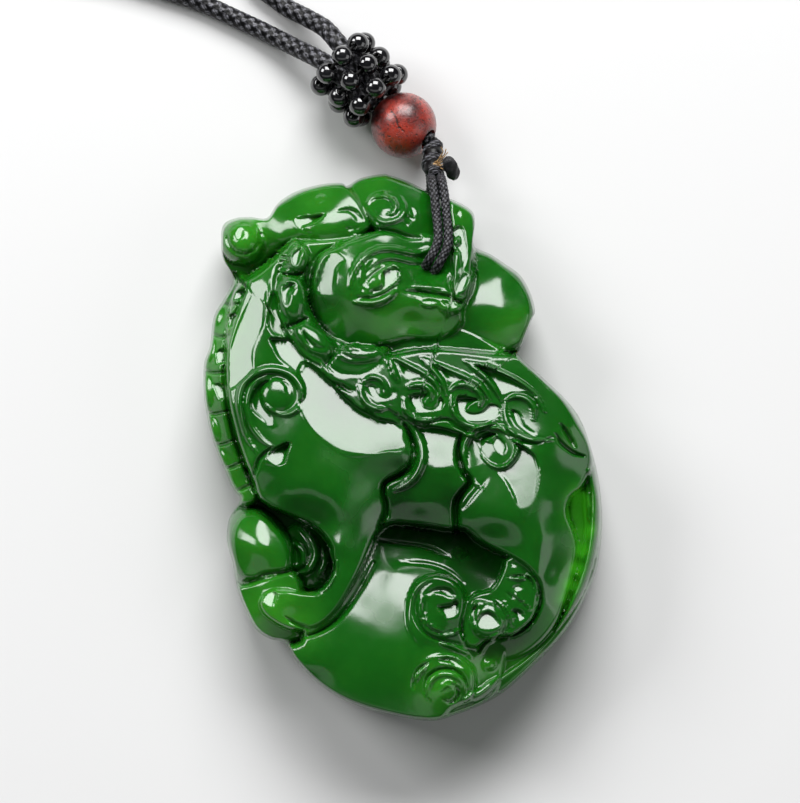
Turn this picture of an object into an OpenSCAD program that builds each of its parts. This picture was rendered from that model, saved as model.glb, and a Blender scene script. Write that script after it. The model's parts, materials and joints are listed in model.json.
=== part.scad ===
// Carved jade pendant of a crouching pixiu on a ball, lying on its back with its knotted cord, a wooden
// bead and a cluster of black beads. +X is the beast's facing side, +Y is up as worn, +Z is the carved
// front. The origin is the middle of the jade's flat back. Millimetres.

/* [Jade] */
// Width of the carved jade
jade_w = 42; // [34:0.5:52]
// Height of the carved jade, from crown to ball
jade_h = 59; // [50:0.5:70]
// Thickness of the carved jade at the haunch
jade_t = 15; // [12:0.5:18]
// Height of the jade's outermost edge above its flat back
rim_lift = 3.2; // [2.4:0.1:4.5]
// Width of the rounding between the edge and the carved front
rim_round = 3; // [2:0.1:4]
// How far the back has risen clear of the flat where the cord comes through
back_relief = 1.4; // [1.3:0.1:2]
// Thickness of the raised spiral lines
curl_line = 0.9; // [0.6:0.05:1.2]

/* [Cord hole] */
// Diameter of the hole for the hanging cord
hole_d = 2.6; // [2.4:0.1:3.2]
// Width that the cord has worn at each mouth of the hole
hole_flare = 0.5; // [0.2:0.1:0.7]

/* [Hanging cord] */
// Diameter of each of the two thin strands through the jade
strand_d = 1; // [0.8:0.05:1.15]
// Gap between the two thin strands
strand_gap = 0.06; // [0.04:0.01:0.1]
// Diameter of the wrapped knot at its fullest
knot_d = 2.5; // [2:0.1:2.8]
// Width of the melted cord end beside the knot
stub_d = 1.6; // [1.2:0.1:1.8]
// Length of the melted cord end
stub_l = 2.9; // [2.2:0.1:3]

/* [Beads] */
// Diameter of the wooden bead
wood_d = 7; // [6:0.1:7.4]
// Bore of the wooden bead
wood_bore_d = 2.3; // [2.2:0.1:2.8]
// Diameter of the cord inside the wooden bead
core_d = 1.8; // [1.4:0.1:2]
// Diameter of each black bead
black_d = 2.3; // [1.8:0.05:2.4]
// Bore of each black bead
black_bore_d = 0.9; // [0.85:0.05:1.1]
// Diameter of the thread through each ring of black beads
thread_d = 0.35; // [0.2:0.05:0.4]
// Distance between the rings of black beads
ring_step = 2.45; // [2.4:0.05:3]
// Gap between the wooden bead and the nearest black beads
bead_gap = 0.2; // [0.05:0.05:0.4]

/* [Neck cord] */
// Diameter of the braided neck cord
neck_d = 2.05; // [1.8:0.05:2.3]
// Gap between the neck cord and the beads round it
cord_gap = 0.07; // [0.05:0.01:0.15]

/* [Hidden] */
BEAD_RINGS = 3;
RING_BEADS = 8;

// Outline of the jade, clockwise from the crown, in percent of its width and height from its middle
OUTLINE = [
    [-4, 50], [0.5, 49], [5.5, 47], [8, 46], [11.5, 45.5], [16.5, 43.5], [17.5, 41.5], [17, 38],
    [18, 36.5], [21.5, 35.5], [25, 33.5], [29, 31.5], [31.5, 28.5], [32.5, 25.5], [32, 23.5], [29.5, 19],
    [28.5, 17], [34, 13], [41, 8.5], [44.5, 4.5], [47.5, -2], [49, -7.5], [49.5, -14], [48.5, -21],
    [46.5, -25.5], [42.5, -31], [38, -35.5], [31.5, -40.5], [25, -44.5], [19, -47], [13.5, -48.5],
    [6.5, -50], [-5, -48.5], [-14.5, -46], [-21, -43], [-26.5, -39], [-29.5, -35.5], [-33.5, -35],
    [-37, -33], [-40.5, -28], [-42, -24.5], [-42.5, -21], [-44, -17], [-43.5, -13], [-41, -9.5],
    [-42.5, -7.5], [-45, -3], [-47.5, 1], [-49, 5], [-50, 10], [-50, 15.5], [-48.5, 18.5],
    [-47, 24], [-44.5, 27.5], [-42.5, 31], [-45, 34.5], [-45.5, 37.5], [-45, 41], [-42, 42], [-38, 42.5],
    [-34, 42], [-31.5, 45], [-26.5, 47], [-20, 48.5], [-15.5, 48.5], [-14, 48], [-10.5, 49.5]
];

// Carved masses. Each row is [depth, sections], and each section is [x, y, radius, top]: x and radius in
// percent of the width, y in percent of the height, depth and top in percent of the thickness. A mass is a
// flattened ball at each section, joined to the next, and its widest part lies the depth under its top.
MASSES = [
    // Low core that every other mass stands on
    [36, [[-6, 22, 35, 60], [2, -14, 40, 62]]],
    // Crown, brow, face, snout and lips
    [34, [[-30, 41.5, 4, 54], [-19, 44, 6, 64], [-4, 43, 8, 72], [7, 42, 6, 70]]],
    [30, [[-18, 36.5, 5, 74], [2, 38, 5, 77]]],
    [46, [[-12, 28.5, 11, 84], [-2, 28, 11, 84]]],
    [36, [[2, 29, 8, 80], [13.5, 27.5, 6, 80]]],
    [36, [[13.5, 41.5, 4.5, 76], [14, 34, 5, 82]]],
    [32, [[2, 23.5, 5.5, 80], [12.5, 25, 4, 77]]],
    // Ball behind the chin
    [50, [[23, 27, 10.5, 70]]],
    // Horn root, neck and shoulder
    [24, [[-36.5, 34, 4, 54], [-28.5, 35, 5, 64]]],
    [50, [[-29.5, 29, 8.5, 76], [-32, 15, 15, 88], [-29.5, 2, 15, 88]]],
    // Chest, foreleg and wrist
    [46, [[-15, 11, 12, 88], [-13, 3, 15, 92]]],
    [46, [[-18, 3, 17, 91], [-20.5, -6, 15, 88], [-17, -14, 9.5, 81], [-14, -20, 5, 76]]],
    [34, [[-14, -19.5, 5, 75], [-18.5, -26, 5, 70], [-24.5, -31, 5, 66]]],
    // Belly and back
    [42, [[0, 4, 15, 88], [6, -3, 18, 84], [14, -4, 16, 86]]],
    [44, [[3, 8, 12, 88], [22, 6, 16, 94]]],
    // Haunch, thigh and hind leg
    [56, [[28.5, 1, 18, 100], [29, -10, 14.5, 97]]],
    [46, [[29, -10, 13.5, 96], [32, -20, 8.5, 85]]],
    [36, [[32, -20, 8, 84], [27.5, -27, 5.5, 76]]],
    // Ball at the chest, forepaw, great ball underneath and hind paw
    [36, [[-36, -16, 7.4, 64]]],
    [28, [[-36.5, -25.5, 5.2, 58], [-28.5, -29, 5.5, 62]]],
    [60, [[-5, -33.5, 23, 84]]],
    [28, [[24, -27, 4.5, 77], [31, -30, 5, 76]]],
    // Cloud scrolls, tail root and the tail along the edge
    [30, [[9.5, -30, 7.6, 85]]],
    [30, [[11.5, -44, 7.6, 76]]],
    [26, [[17, -37, 4, 74], [22, -40, 4, 66], [30, -36, 3, 54]]],
    [24, [[37.5, 4, 4, 84], [45, -3, 2.5, 62]]],
    [20, [[45.5, -4, 2.6, 54], [47.3, -14, 2.4, 52], [45, -24, 2.4, 50], [38, -33, 2.6, 52],
        [26, -42, 3.4, 58]]],
    // The ear as two leaves, and the toes of the forepaw and of the hind paw
    [12, [[-28.5, 41.5, 1, 66], [-18, 41, 4, 76], [-10.5, 41.5, 1.6, 74]]],
    [14, [[-35, -25, 2.6, 60], [-38.5, -29, 1.8, 52]]], [14, [[-31, -27, 2.6, 64], [-34, -31, 1.8, 56]]],
    [14, [[-27, -29, 2.6, 66], [-29, -33, 1.8, 57]]],
    [14, [[24, -29, 2.4, 80], [20.5, -33, 1.6, 74]]], [14, [[27, -31, 2.4, 79], [23.5, -35.5, 1.6, 72]]],
    [14, [[31, -32, 2.4, 78], [28, -37, 1.6, 70]]],
    // Eye and horn tip
    [8, [[-10.5, 29, 1.6, 89], [-4, 31, 1.8, 89]]],
    [30, [[-40, 37.5, 5.2, 60]]],
    // Rings of the mane
    [14, [[-26, 34.5, 3.4, 86]]], [14, [[-28, 30.5, 3.2, 88]]], [14, [[-27, 26.5, 3.4, 89]]],
    [14, [[-25, 23, 3.3, 90]]], [14, [[-22, 19.5, 3.5, 91]]], [14, [[-17, 18, 3.4, 92]]],
    [14, [[-11.5, 17, 3.5, 92]]], [14, [[-6.5, 18, 3.3, 91]]],
    // Scutes down the back
    [14, [[-43, 26, 3.4, 50]]], [14, [[-44.5, 22, 3.9, 51]]], [14, [[-45.5, 17, 4, 52]]],
    [14, [[-46, 10.5, 4.6, 52]]], [14, [[-44.5, 4, 4.2, 52]]], [14, [[-42.5, -1, 3.6, 52]]],
    [14, [[-40.5, -5, 3.4, 52]]]
];

// Raised spirals. Each row is [x, y, outer radius, turns, start angle, way round]: x and radius in percent
// of the width, y in percent of the height, the way round 1 for anticlockwise going in.
SPIRALS = [
    [-4, 43, 3.8, 1.4, 160, -1], [-31.5, 10, 6, 1.4, 200, -1], [-5, 10.5, 4.4, 1.3, 120, -1],
    [5.5, 8.5, 4.6, 1.3, 120, -1], [18, 8, 4.6, 1.3, 120, -1], [29.5, 5.5, 4.4, 1.3, 120, -1],
    [21.5, 0, 5, 1.4, 150, -1], [9.5, -30, 6.8, 1.6, 100, -1], [11.5, -44, 6.8, 1.6, 100, -1]
];

// Raised lines over the masses, each a list of [x, y] in percent: eyebrow, lip, foreleg's edge, belly fold
RIDGES = [
    [[-13, 30.5], [-10, 33.5], [-5, 35.3], [0, 35.8], [4, 35.5]],
    [[4, 25.6], [8, 25.9], [12, 25.4], [16, 25.9]],
    [[-1, 7], [1.5, 2], [-4, -3.5], [-6, -8], [-9, -15], [-14, -24], [-20, -31]],
    [[14.5, 3], [14.5, -2], [18.5, -6.5], [15.5, -12], [16.5, -17]]
];

// Share of the jade's radius that the flat of its back reaches, and where it has risen by back_relief
FLAT_SHARE = 0.46;
RISE_SHARE = 0.68;
// Shares at which the rounded back is drawn, from the edge to the flat
BACK_SHARES = [0.93, 0.82, RISE_SHARE, FLAT_SHARE];
// Steps round the quarter turn from the edge to the front
EDGE_STEPS = 5;
// Height of the ground between the carved masses, in percent of the thickness
GROUND = 34;
// Sides of a flattened ball, and of a small one
BALL_SIDES = 18;
SMALL_SIDES = 10;
// Steps along a spiral, and sides of a raised line
SPIRAL_STEPS = 15;
RIDGE_SIDES = 4;

// Middle of the cord hole and of the dip in the top edge that the cord crosses, in percent
HOLE_AT = [5.85, 29.6];
DIP_AT = [8, 46];

// Hanging strands: points of the pair's middle line, over the jade's front, through its hole and up behind
// it. Each is [x, y, height of the underside, turn of the pair]. x and y are from the dip in the top edge,
// and a y below it is a share of the way down to the hole.
STRAND_ROUTE = [
    [0, 1.2, 6.65, 0], [0, 1.02, 6.85, 0], [0.02, 0.75, 7.4, 0], [0.06, 0.42, 8.4, 0],
    [0.12, -0.012, 9.4, 0], [0.25, -0.11, 10.15, 0], [0.4, -0.24, 10.65, 0], [0.55, -0.41, 11, 0],
    [0.68, -0.57, 11.5, -4], [0.66, -0.71, 11.8, -14], [0.24, -0.84, 11.95, -26], [-0.32, -0.94, 11.7, -30],
    [-0.76, -0.99, 10.3, -30], [-0.9, -1, 8.5, -30], [-0.9, -1, 5.5, -25], [-0.9, -1, 3, -15],
    [-0.88, -0.98, 1.4, -8], [-0.84, -0.88, 0.4, -4], [-0.75, -0.73, 0.06, 0], [-0.5, -0.48, 0.06, 0],
    [-0.25, -0.24, 0.1, 0], [-0.1, -0.05, 0.5, 0], [0, 0.6, 1.3, 0], [0, 1.35, 2.7, 0],
    [-0.05, 1.85, 3.9, 0], [-0.1, 2.05, 4.6, 0]
];

// Wrapped knot: points of its middle line as [x, y, height, share of its full width], from the same dip
KNOT_ROUTE = [
    [-0.41, 5.69, 4.53, 0.5], [-0.21, 5.56, 4.6, 0.6], [-0.14, 5.06, 4.85, 0.76],
    [-0.21, 4.41, 5.2, 0.92], [-0.28, 3.96, 5.45, 1], [-0.36, 3.41, 5.8, 0.84],
    [-0.36, 2.86, 6.1, 0.94], [-0.31, 2.26, 6.45, 0.94], [-0.12, 1.81, 6.8, 0.8], [-0.03, 1.46, 7.05, 0.57]
];
// Melted cord end: its middle from the dip, and how it leans
STUB_AT = [1.58, 2.12, 7.2];
STUB_TURN = [-46, 0, 26];

// Neck cord: points of its middle line as [x, y, height of the underside] from the wooden bead's middle,
// out through the cluster, round the neck and back
NECK_ROUTE = [
    [-3.45, 1.95, 3.4], [-5.7, 4.2, 3.4], [-7.2, 5.7, 3.4], [-8.1, 6.45, 3.35], [-9.6, 7.5, 2.7],
    [-11.4, 8.7, 1.6], [-14, 10.3, 0.6], [-17.4, 12.1, 0.1], [-24, 15, 0.02], [-35, 18, 0.02],
    [-54, 20, 0.02], [-84, 20, 0.02], [-118, 20, 0.02], [-152, 25, 0.02], [-184, 41, 0.02],
    [-208, 69, 0.02], [-217, 104, 0.02], [-209, 139, 0.02], [-186, 167, 0.02], [-152, 181, 0.02],
    [-118, 178, 0.02], [-88, 162, 0.02], [-66, 137, 0.02], [-50, 107, 0.02], [-39, 78, 0.02],
    [-31, 52, 0.02], [-24, 31, 0.02], [-17.6, 18.5, 0.02], [-13.4, 14.2, 0.25], [-10.4, 12.2, 1.2],
    [-8.5, 10.8, 2.2], [-7.3, 9.3, 3], [-6.45, 8.1, 3.35], [-5.7, 7.2, 3.4], [-4.2, 5.7, 3.4],
    [-1.95, 3.45, 3.4]
];

// Way that the black beads are strung, turned from +X
STRING_TURN = 135;
// Way that the wooden bead's bore points, turned from +X, and how steeply it rises towards the knot
BORE_TURN = -34;
BORE_RISE = 14;
// How far the cord stands out of the wooden bead at each end
CORE_OUT = 0.05;
// Distance from the wooden bead to the first turn of the knot
KNOT_FROM_WOOD = 0.1;

// Place of the hanging parts: the dip in the jade's edge, the hole, and the wooden bead beyond the knot
dip = [DIP_AT.x * jade_w / 100, DIP_AT.y * jade_h / 100];
hole = [HOLE_AT.x * jade_w / 100, HOLE_AT.y * jade_h / 100];
wood_at = [
    dip.x + KNOT_ROUTE[0].x - (wood_d / 2 + KNOT_FROM_WOOD) * cos(BORE_TURN),
    dip.y + KNOT_ROUTE[0].y - (wood_d / 2 + KNOT_FROM_WOOD) * sin(BORE_TURN),
    wood_d / 2
];

// The strands' route with every distance in millimetres
strand_route = [for (p = STRAND_ROUTE) [p.x, p.y < 0 ? p.y * (dip.y - hole.y) : p.y, p.z, p[3]]];

// Radius of each ring of black beads, so that two neck cords pass through it, and the cluster's height
ring_r = neck_d + cord_gap + black_d / 2;
cluster_z = ring_r + black_d / 2;
// Distance along the string from the wooden bead's middle to the nearest ring
first_ring = sqrt(pow((wood_d + black_d) / 2 + bead_gap, 2) - pow((wood_d - black_d) / 2, 2));

function mix(a, b, t) = a + (b - a) * t;
function unit(v) = v / norm(v);
function clamp(t) = min(max(t, 0), 1);

// A point of the outline, in millimetres
function edge_at(i) = [OUTLINE[i].x * jade_w, OUTLINE[i].y * jade_h] / 100;

// Height of one stretch of a mass over a point, 0 beside it
function stretch_z(p, a, b, depth) =
    let (
        pa = [a.x * jade_w, a.y * jade_h] / 100,
        pb = [b.x * jade_w, b.y * jade_h] / 100,
        along = pb - pa,
        len2 = along * along,
        t = len2 == 0 ? 0 : clamp((p - pa) * along / len2),
        d = norm(p - pa - along * t) / (mix(a[2], b[2], t) * jade_w / 100)
    )
    d >= 1 ? 0 : (mix(a[3], b[3], t) - depth * (1 - sqrt(1 - d * d))) * jade_t / 100;

// Height of the carving over a point: the highest of the masses and the ground
function carving_z(p) = max(
    GROUND * jade_t / 100,
    max([
        for (m = MASSES) let (s = m[1], last = len(s) - 1) for (i = [0:max(last - 1, 0)])
            stretch_z(p, s[i], s[min(i + 1, last)], m[0])
    ])
);

// Height of the back at a share of the way out
function back_z(share) =
    share <= FLAT_SHARE ? 0
        : share <= RISE_SHARE
            ? back_relief * (share - FLAT_SHARE) / (RISE_SHARE - FLAT_SHARE)
            : back_relief + (rim_lift - back_relief) * pow((share - RISE_SHARE) / (1 - RISE_SHARE), 2);

// The blank that the jade is carved from: its outline, rounded over to the front and relieved at the back
module blank() {
    round = len(OUTLINE);
    // Rings from the front down, each [inset from the edge, or share of the way out, and height]
    front = [
        for (s = [0:EDGE_STEPS])
            let (a = 90 - 90 * s / EDGE_STEPS)
            [rim_round * (1 - cos(a)), rim_lift + (jade_t - rim_lift) * sin(a)]
    ];
    points = concat(
        [
            for (f = front) for (i = [0:round - 1])
                let (e = edge_at(i))
                [each e * (1 - f[0] / norm(e)), f[1]]
        ],
        [for (share = BACK_SHARES) for (i = [0:round - 1]) [each edge_at(i) * share, back_z(share)]],
        [[0, 0, jade_t], [0, 0, 0]]
    );
    rings = len(front) + len(BACK_SHARES);
    function at(ring, i) = ring * round + i % round;
    polyhedron(
        points = points,
        faces = concat(
            [
                for (n = [0:rings - 2]) for (i = [0:round - 1]) each [
                    [at(n, i), at(n + 1, i), at(n + 1, i + 1)],
                    [at(n, i), at(n + 1, i + 1), at(n, i + 1)]
                ]
            ],
            [for (i = [0:round - 1]) [rings * round, at(0, i), at(0, i + 1)]],
            [for (i = [0:round - 1]) [rings * round + 1, at(rings - 1, i + 1), at(rings - 1, i)]]
        )
    );
}

// A tube swept along points, its rings set square to the way it runs. d is its diameter, or one for each
// point, and across is a way that it never runs.
module tube(points, d, sides, across) {
    last = len(points) - 1;
    function way(i) = unit(points[min(i + 1, last)] - points[max(i - 1, 0)]);
    function wide(i) = is_list(d) ? d[i] : d;
    rings = [
        for (i = [0:last])
            let (w = way(i), a = unit(cross(w, across)), b = cross(w, a))
            for (k = [0:sides - 1])
                points[i] + wide(i) / 2 * (a * cos(360 * k / sides) + b * sin(360 * k / sides))
    ];
    polyhedron(
        points = rings,
        faces = concat(
            [[for (k = [0:sides - 1]) k]],
            [
                for (i = [0:last - 1]) for (k = [0:sides - 1])
                    let (a = i * sides + k, b = i * sides + (k + 1) % sides)
                    each [[a, a + sides, b + sides], [a, b + sides, b]]
            ],
            [[for (k = [sides - 1:-1:0]) last * sides + k]]
        )
    );
}

// Points of a smooth curve through the given ones, with so many steps from each to the next
function smooth(points, steps) =
    let (last = len(points) - 1)
    [
        for (i = [0:last - 1]) for (s = [0:steps - 1])
            let (
                t = s / steps,
                a = points[max(i - 1, 0)], b = points[i], c = points[i + 1], d = points[min(i + 2, last)]
            )
            (2 * b + (c - a) * t + (2 * a - 5 * b + 4 * c - d) * t * t
                + (3 * b - a - 3 * c + d) * t * t * t) / 2,
        points[last]
    ];

// A raised spiral line that winds in over the carving
module spiral(row) {
    centre = [row.x * jade_w, row.y * jade_h] / 100;
    points = [
        for (i = [0:SPIRAL_STEPS])
            let (
                t = i / SPIRAL_STEPS,
                r = mix(row[2], row[2] * 0.18, t) * jade_w / 100,
                angle = row[4] + row[5] * 360 * row[3] * t,
                p = centre + r * [cos(angle), sin(angle)]
            )
            [p.x, p.y, carving_z(p)]
    ];
    tube(points, curl_line, RIDGE_SIDES, [0, 0, 1]);
}

// A raised line that follows the carving along a list of points
module ridge(route) {
    points = [
        for (q = smooth([for (p = route) [p.x * jade_w, p.y * jade_h] / 100], 3))
            [q.x, q.y, carving_z(q)]
    ];
    tube(points, curl_line, RIDGE_SIDES, [0, 0, 1]);
}

// A flattened ball at one section of a mass
module ball(section, depth) {
    r = section[2] * jade_w / 100;
    translate([section.x * jade_w, section.y * jade_h, (section[3] - depth) * jade_t] / 100)
        scale([1, 1, depth * jade_t / 100 / r])
            sphere(r = r, $fn = section[2] > 5 ? BALL_SIDES : SMALL_SIDES);
}

// A carved mass, its sections joined one to the next
module mass(row) {
    last = len(row[1]) - 1;
    for (i = [0:max(last - 1, 0)])
        hull() {
            ball(row[1][i], row[0]);
            ball(row[1][min(i + 1, last)], row[0]);
        }
}

// The drilled hole, opening out by hole_flare at the front and at the back
module cord_hole() {
    back = back_z(norm(hole) / norm(dip));
    translate([hole.x, hole.y, 0]) {
        translate([0, 0, -1])
            cylinder(d = hole_d, h = jade_t + 2, $fn = 24);
        translate([0, 0, carving_z(hole) - 2 * hole_flare])
            cylinder(d1 = hole_d, d2 = hole_d + 4 * hole_flare, h = 4 * hole_flare, $fn = 24);
        translate([0, 0, back - 2 * hole_flare])
            cylinder(d1 = hole_d + 4 * hole_flare, d2 = hole_d, h = 4 * hole_flare, $fn = 24);
    }
}

module jade_pendant() {
    color("darkgreen")
        difference() {
            intersection() {
                blank();
                union() {
                    translate([-jade_w, -jade_h, -1])
                        cube([2 * jade_w, 2 * jade_h, 1 + GROUND * jade_t / 100]);
                    for (row = MASSES)
                        mass(row);
                    for (row = SPIRALS)
                        spiral(row);
                    for (route = RIDGES)
                        ridge(route);
                }
            }
            cord_hole();
        }
}

// Route of one strand: the pair's middle line, moved to its own side
function strand_points(side) = [
    for (p = smooth(strand_route, 2))
        let (out = side * (strand_d + strand_gap) / 2)
        [dip.x + p.x + out * cos(p[3]), dip.y + p.y + out * sin(p[3]), p.z + strand_d / 2]
];

module hang_strand_1() {
    color("black")
        tube(strand_points(-1), strand_d, 8, [1, 0, 0]);
}

module hang_strand_2() {
    color("black")
        tube(strand_points(1), strand_d, 8, [1, 0, 0]);
}

module cord_knot() {
    route = smooth(KNOT_ROUTE, 2);
    color("black")
        tube(
            [for (p = route) [dip.x + p.x, dip.y + p.y, p.z]],
            [for (p = route) p[3] * knot_d], 10, [1, 0, 0]
        );
}

// The melted end: a cylinder between two half balls
module cord_stub() {
    color("dimgray")
        translate([dip.x + STUB_AT.x, dip.y + STUB_AT.y, STUB_AT.z])
            rotate(STUB_TURN)
                union() {
                    cylinder(d = stub_d, h = stub_l - stub_d, center = true);
                    for (end = [-1, 1])
                        translate([0, 0, end * (stub_l - stub_d) / 2])
                            sphere(d = stub_d);
                }
}

module wooden_bead() {
    color("firebrick")
        translate(wood_at)
            rotate([0, 90 - BORE_RISE, BORE_TURN])
                difference() {
                    sphere(d = wood_d);
                    translate([0, 0, -wood_d])
                        cylinder(d = wood_bore_d, h = 2 * wood_d);
                }
}

module bead_core() {
    color("black")
        translate(wood_at)
            rotate([0, 90 - BORE_RISE, BORE_TURN])
                cylinder(d = core_d, h = wood_d + 2 * CORE_OUT, center = true);
}

// Puts a ring of the cluster in place with +Z along the string, ring 0 nearest the wooden bead
module on_string(ring) {
    translate([wood_at.x, wood_at.y, cluster_z])
        rotate([0, 90, STRING_TURN])
            translate([0, 0, first_ring + ring_step * ring])
                children();
}

// Black bead i, its bore along the ring that it is strung on; the rings are staggered by half a bead
module black_bead(i) {
    ring = floor((i - 1) / RING_BEADS);
    turn = 360 / RING_BEADS * ((i - 1) % RING_BEADS + (ring % 2) / 2);
    color("black")
        on_string(ring)
            rotate([0, 0, turn])
                translate([ring_r, 0, 0])
                    rotate([90, 0, 0])
                        difference() {
                            sphere(d = black_d);
                            translate([0, 0, -black_d])
                                cylinder(d = black_bore_d, h = 2 * black_d);
                        }
}

module ring_thread(i) {
    color("black")
        on_string(i - 1)
            rotate_extrude()
                translate([ring_r, 0])
                    circle(d = thread_d);
}

module neck_cord() {
    color("black")
        translate([wood_at.x, wood_at.y, neck_d / 2])
            tube(smooth(NECK_ROUTE, 2), neck_d, 8, [0, 0, 1]);
}

jade_pendant();
hang_strand_1();
hang_strand_2();
cord_knot();
cord_stub();
wooden_bead();
bead_core();
for (i = [1:BEAD_RINGS * RING_BEADS])
    black_bead(i);
ring_thread(1);  // ring_thread_1
ring_thread(2);  // ring_thread_2
ring_thread(3);  // ring_thread_3
neck_cord();
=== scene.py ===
import json
import math

import bpy
import numpy as np
from mathutils import Matrix, Vector

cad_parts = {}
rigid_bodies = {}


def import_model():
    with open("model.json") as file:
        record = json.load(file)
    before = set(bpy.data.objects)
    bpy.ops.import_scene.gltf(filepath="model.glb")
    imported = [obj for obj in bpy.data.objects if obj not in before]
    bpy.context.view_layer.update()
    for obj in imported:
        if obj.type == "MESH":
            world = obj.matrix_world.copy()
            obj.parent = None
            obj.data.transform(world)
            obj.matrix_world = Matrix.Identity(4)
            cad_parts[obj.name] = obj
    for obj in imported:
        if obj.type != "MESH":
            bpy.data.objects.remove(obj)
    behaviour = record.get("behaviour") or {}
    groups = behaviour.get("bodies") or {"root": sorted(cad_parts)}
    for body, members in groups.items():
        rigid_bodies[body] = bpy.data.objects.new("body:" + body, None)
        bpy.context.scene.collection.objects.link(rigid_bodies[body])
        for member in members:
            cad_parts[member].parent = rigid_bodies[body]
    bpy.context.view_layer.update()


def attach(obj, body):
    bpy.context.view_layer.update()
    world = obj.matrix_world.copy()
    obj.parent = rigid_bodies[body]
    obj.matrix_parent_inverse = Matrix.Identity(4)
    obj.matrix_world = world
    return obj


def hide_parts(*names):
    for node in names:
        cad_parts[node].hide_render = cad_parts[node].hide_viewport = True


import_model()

# Where the necklace is seen from: a close, steep look down at the jade lying on its back.
# The picture is 800 by 803 points, and one point is 0.105 mm across at the jade.
PICTURE = (800, 803)
JADE_MIDDLE_PX = (404.0, 448.5)
MM_PER_PX = 0.105
CAMERA_TILT = math.radians(80)
CAMERA_FAR = 400.0
SENSOR_W = 36.0
AIM_HEIGHT = 3.5

focal_px = CAMERA_FAR / MM_PER_PX
to_side = np.array([1.0, 0.0, 0.0])
to_top = np.array([0.0, math.sin(CAMERA_TILT), math.cos(CAMERA_TILT)])
to_scene = np.array([0.0, math.cos(CAMERA_TILT), -math.sin(CAMERA_TILT)])
aim = np.array([
    (PICTURE[0] / 2 - JADE_MIDDLE_PX[0]) * MM_PER_PX,
    (JADE_MIDDLE_PX[1] - PICTURE[1] / 2) * MM_PER_PX / math.sin(CAMERA_TILT),
    AIM_HEIGHT,
])
eye = aim - to_scene * CAMERA_FAR

camera = bpy.data.objects.new("camera", bpy.data.cameras.new("camera"))
camera.data.sensor_fit = "HORIZONTAL"
camera.data.sensor_width = SENSOR_W
camera.data.lens = focal_px * SENSOR_W / PICTURE[0]
camera.data.clip_start = 0.01
camera.data.clip_end = 20.0
camera_rows = np.column_stack([to_side, to_top, -to_scene, eye / 1000]).tolist()
camera.matrix_world = Matrix([*camera_rows, (0, 0, 0, 1)])
bpy.context.scene.collection.objects.link(camera)
bpy.context.scene.camera = camera


def spot(px, py, z):
    """Place at height z, in millimetres, of a point of the picture: the camera's ray meets that height."""
    px, py, z = np.broadcast_arrays(np.asarray(px, float), np.asarray(py, float), np.asarray(z, float))
    ray = (to_scene + np.multiply.outer((px - PICTURE[0] / 2) / focal_px, to_side)
           + np.multiply.outer((PICTURE[1] / 2 - py) / focal_px, to_top))
    return eye + ray * ((z - eye[2]) / ray[..., 2])[..., None]


# Studio light: a large soft box behind the top of the pendant, one at each side of it and a wide low strip
# in front, in dim and pale surroundings.
def soft_box(name, centre, width, height, watts, looks_at=(0, 0, 0)):
    """A lit rectangle, in metres, that faces looks_at."""
    lamp = bpy.data.lights.new(name, "AREA")
    lamp.shape = "RECTANGLE"
    lamp.size, lamp.size_y, lamp.energy = width, height, watts
    holder = bpy.data.objects.new(name, lamp)
    holder.location = centre
    holder.rotation_euler = (Vector(looks_at) - Vector(centre)).to_track_quat("-Z", "Y").to_euler()
    bpy.context.scene.collection.objects.link(holder)


soft_box("light_back", (0.04, 0.56, 0.56), 0.56, 0.46, 8.8)
soft_box("light_left", (-0.58, 0.32, 0.52), 0.36, 0.36, 3.8)
soft_box("light_right", (0.70, -0.20, 0.40), 0.50, 0.50, 1.0)
soft_box("light_front", (0.0, -0.60, 0.62), 2.20, 0.30, 1.03)
bpy.context.scene.view_settings.view_transform = "Standard"

world = bpy.data.worlds.new("studio")
world.use_nodes = True
world.node_tree.nodes["Background"].inputs["Color"].default_value = (0.9, 0.93, 0.95, 1)
world.node_tree.nodes["Background"].inputs["Strength"].default_value = 0.06
bpy.context.scene.world = world


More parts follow.
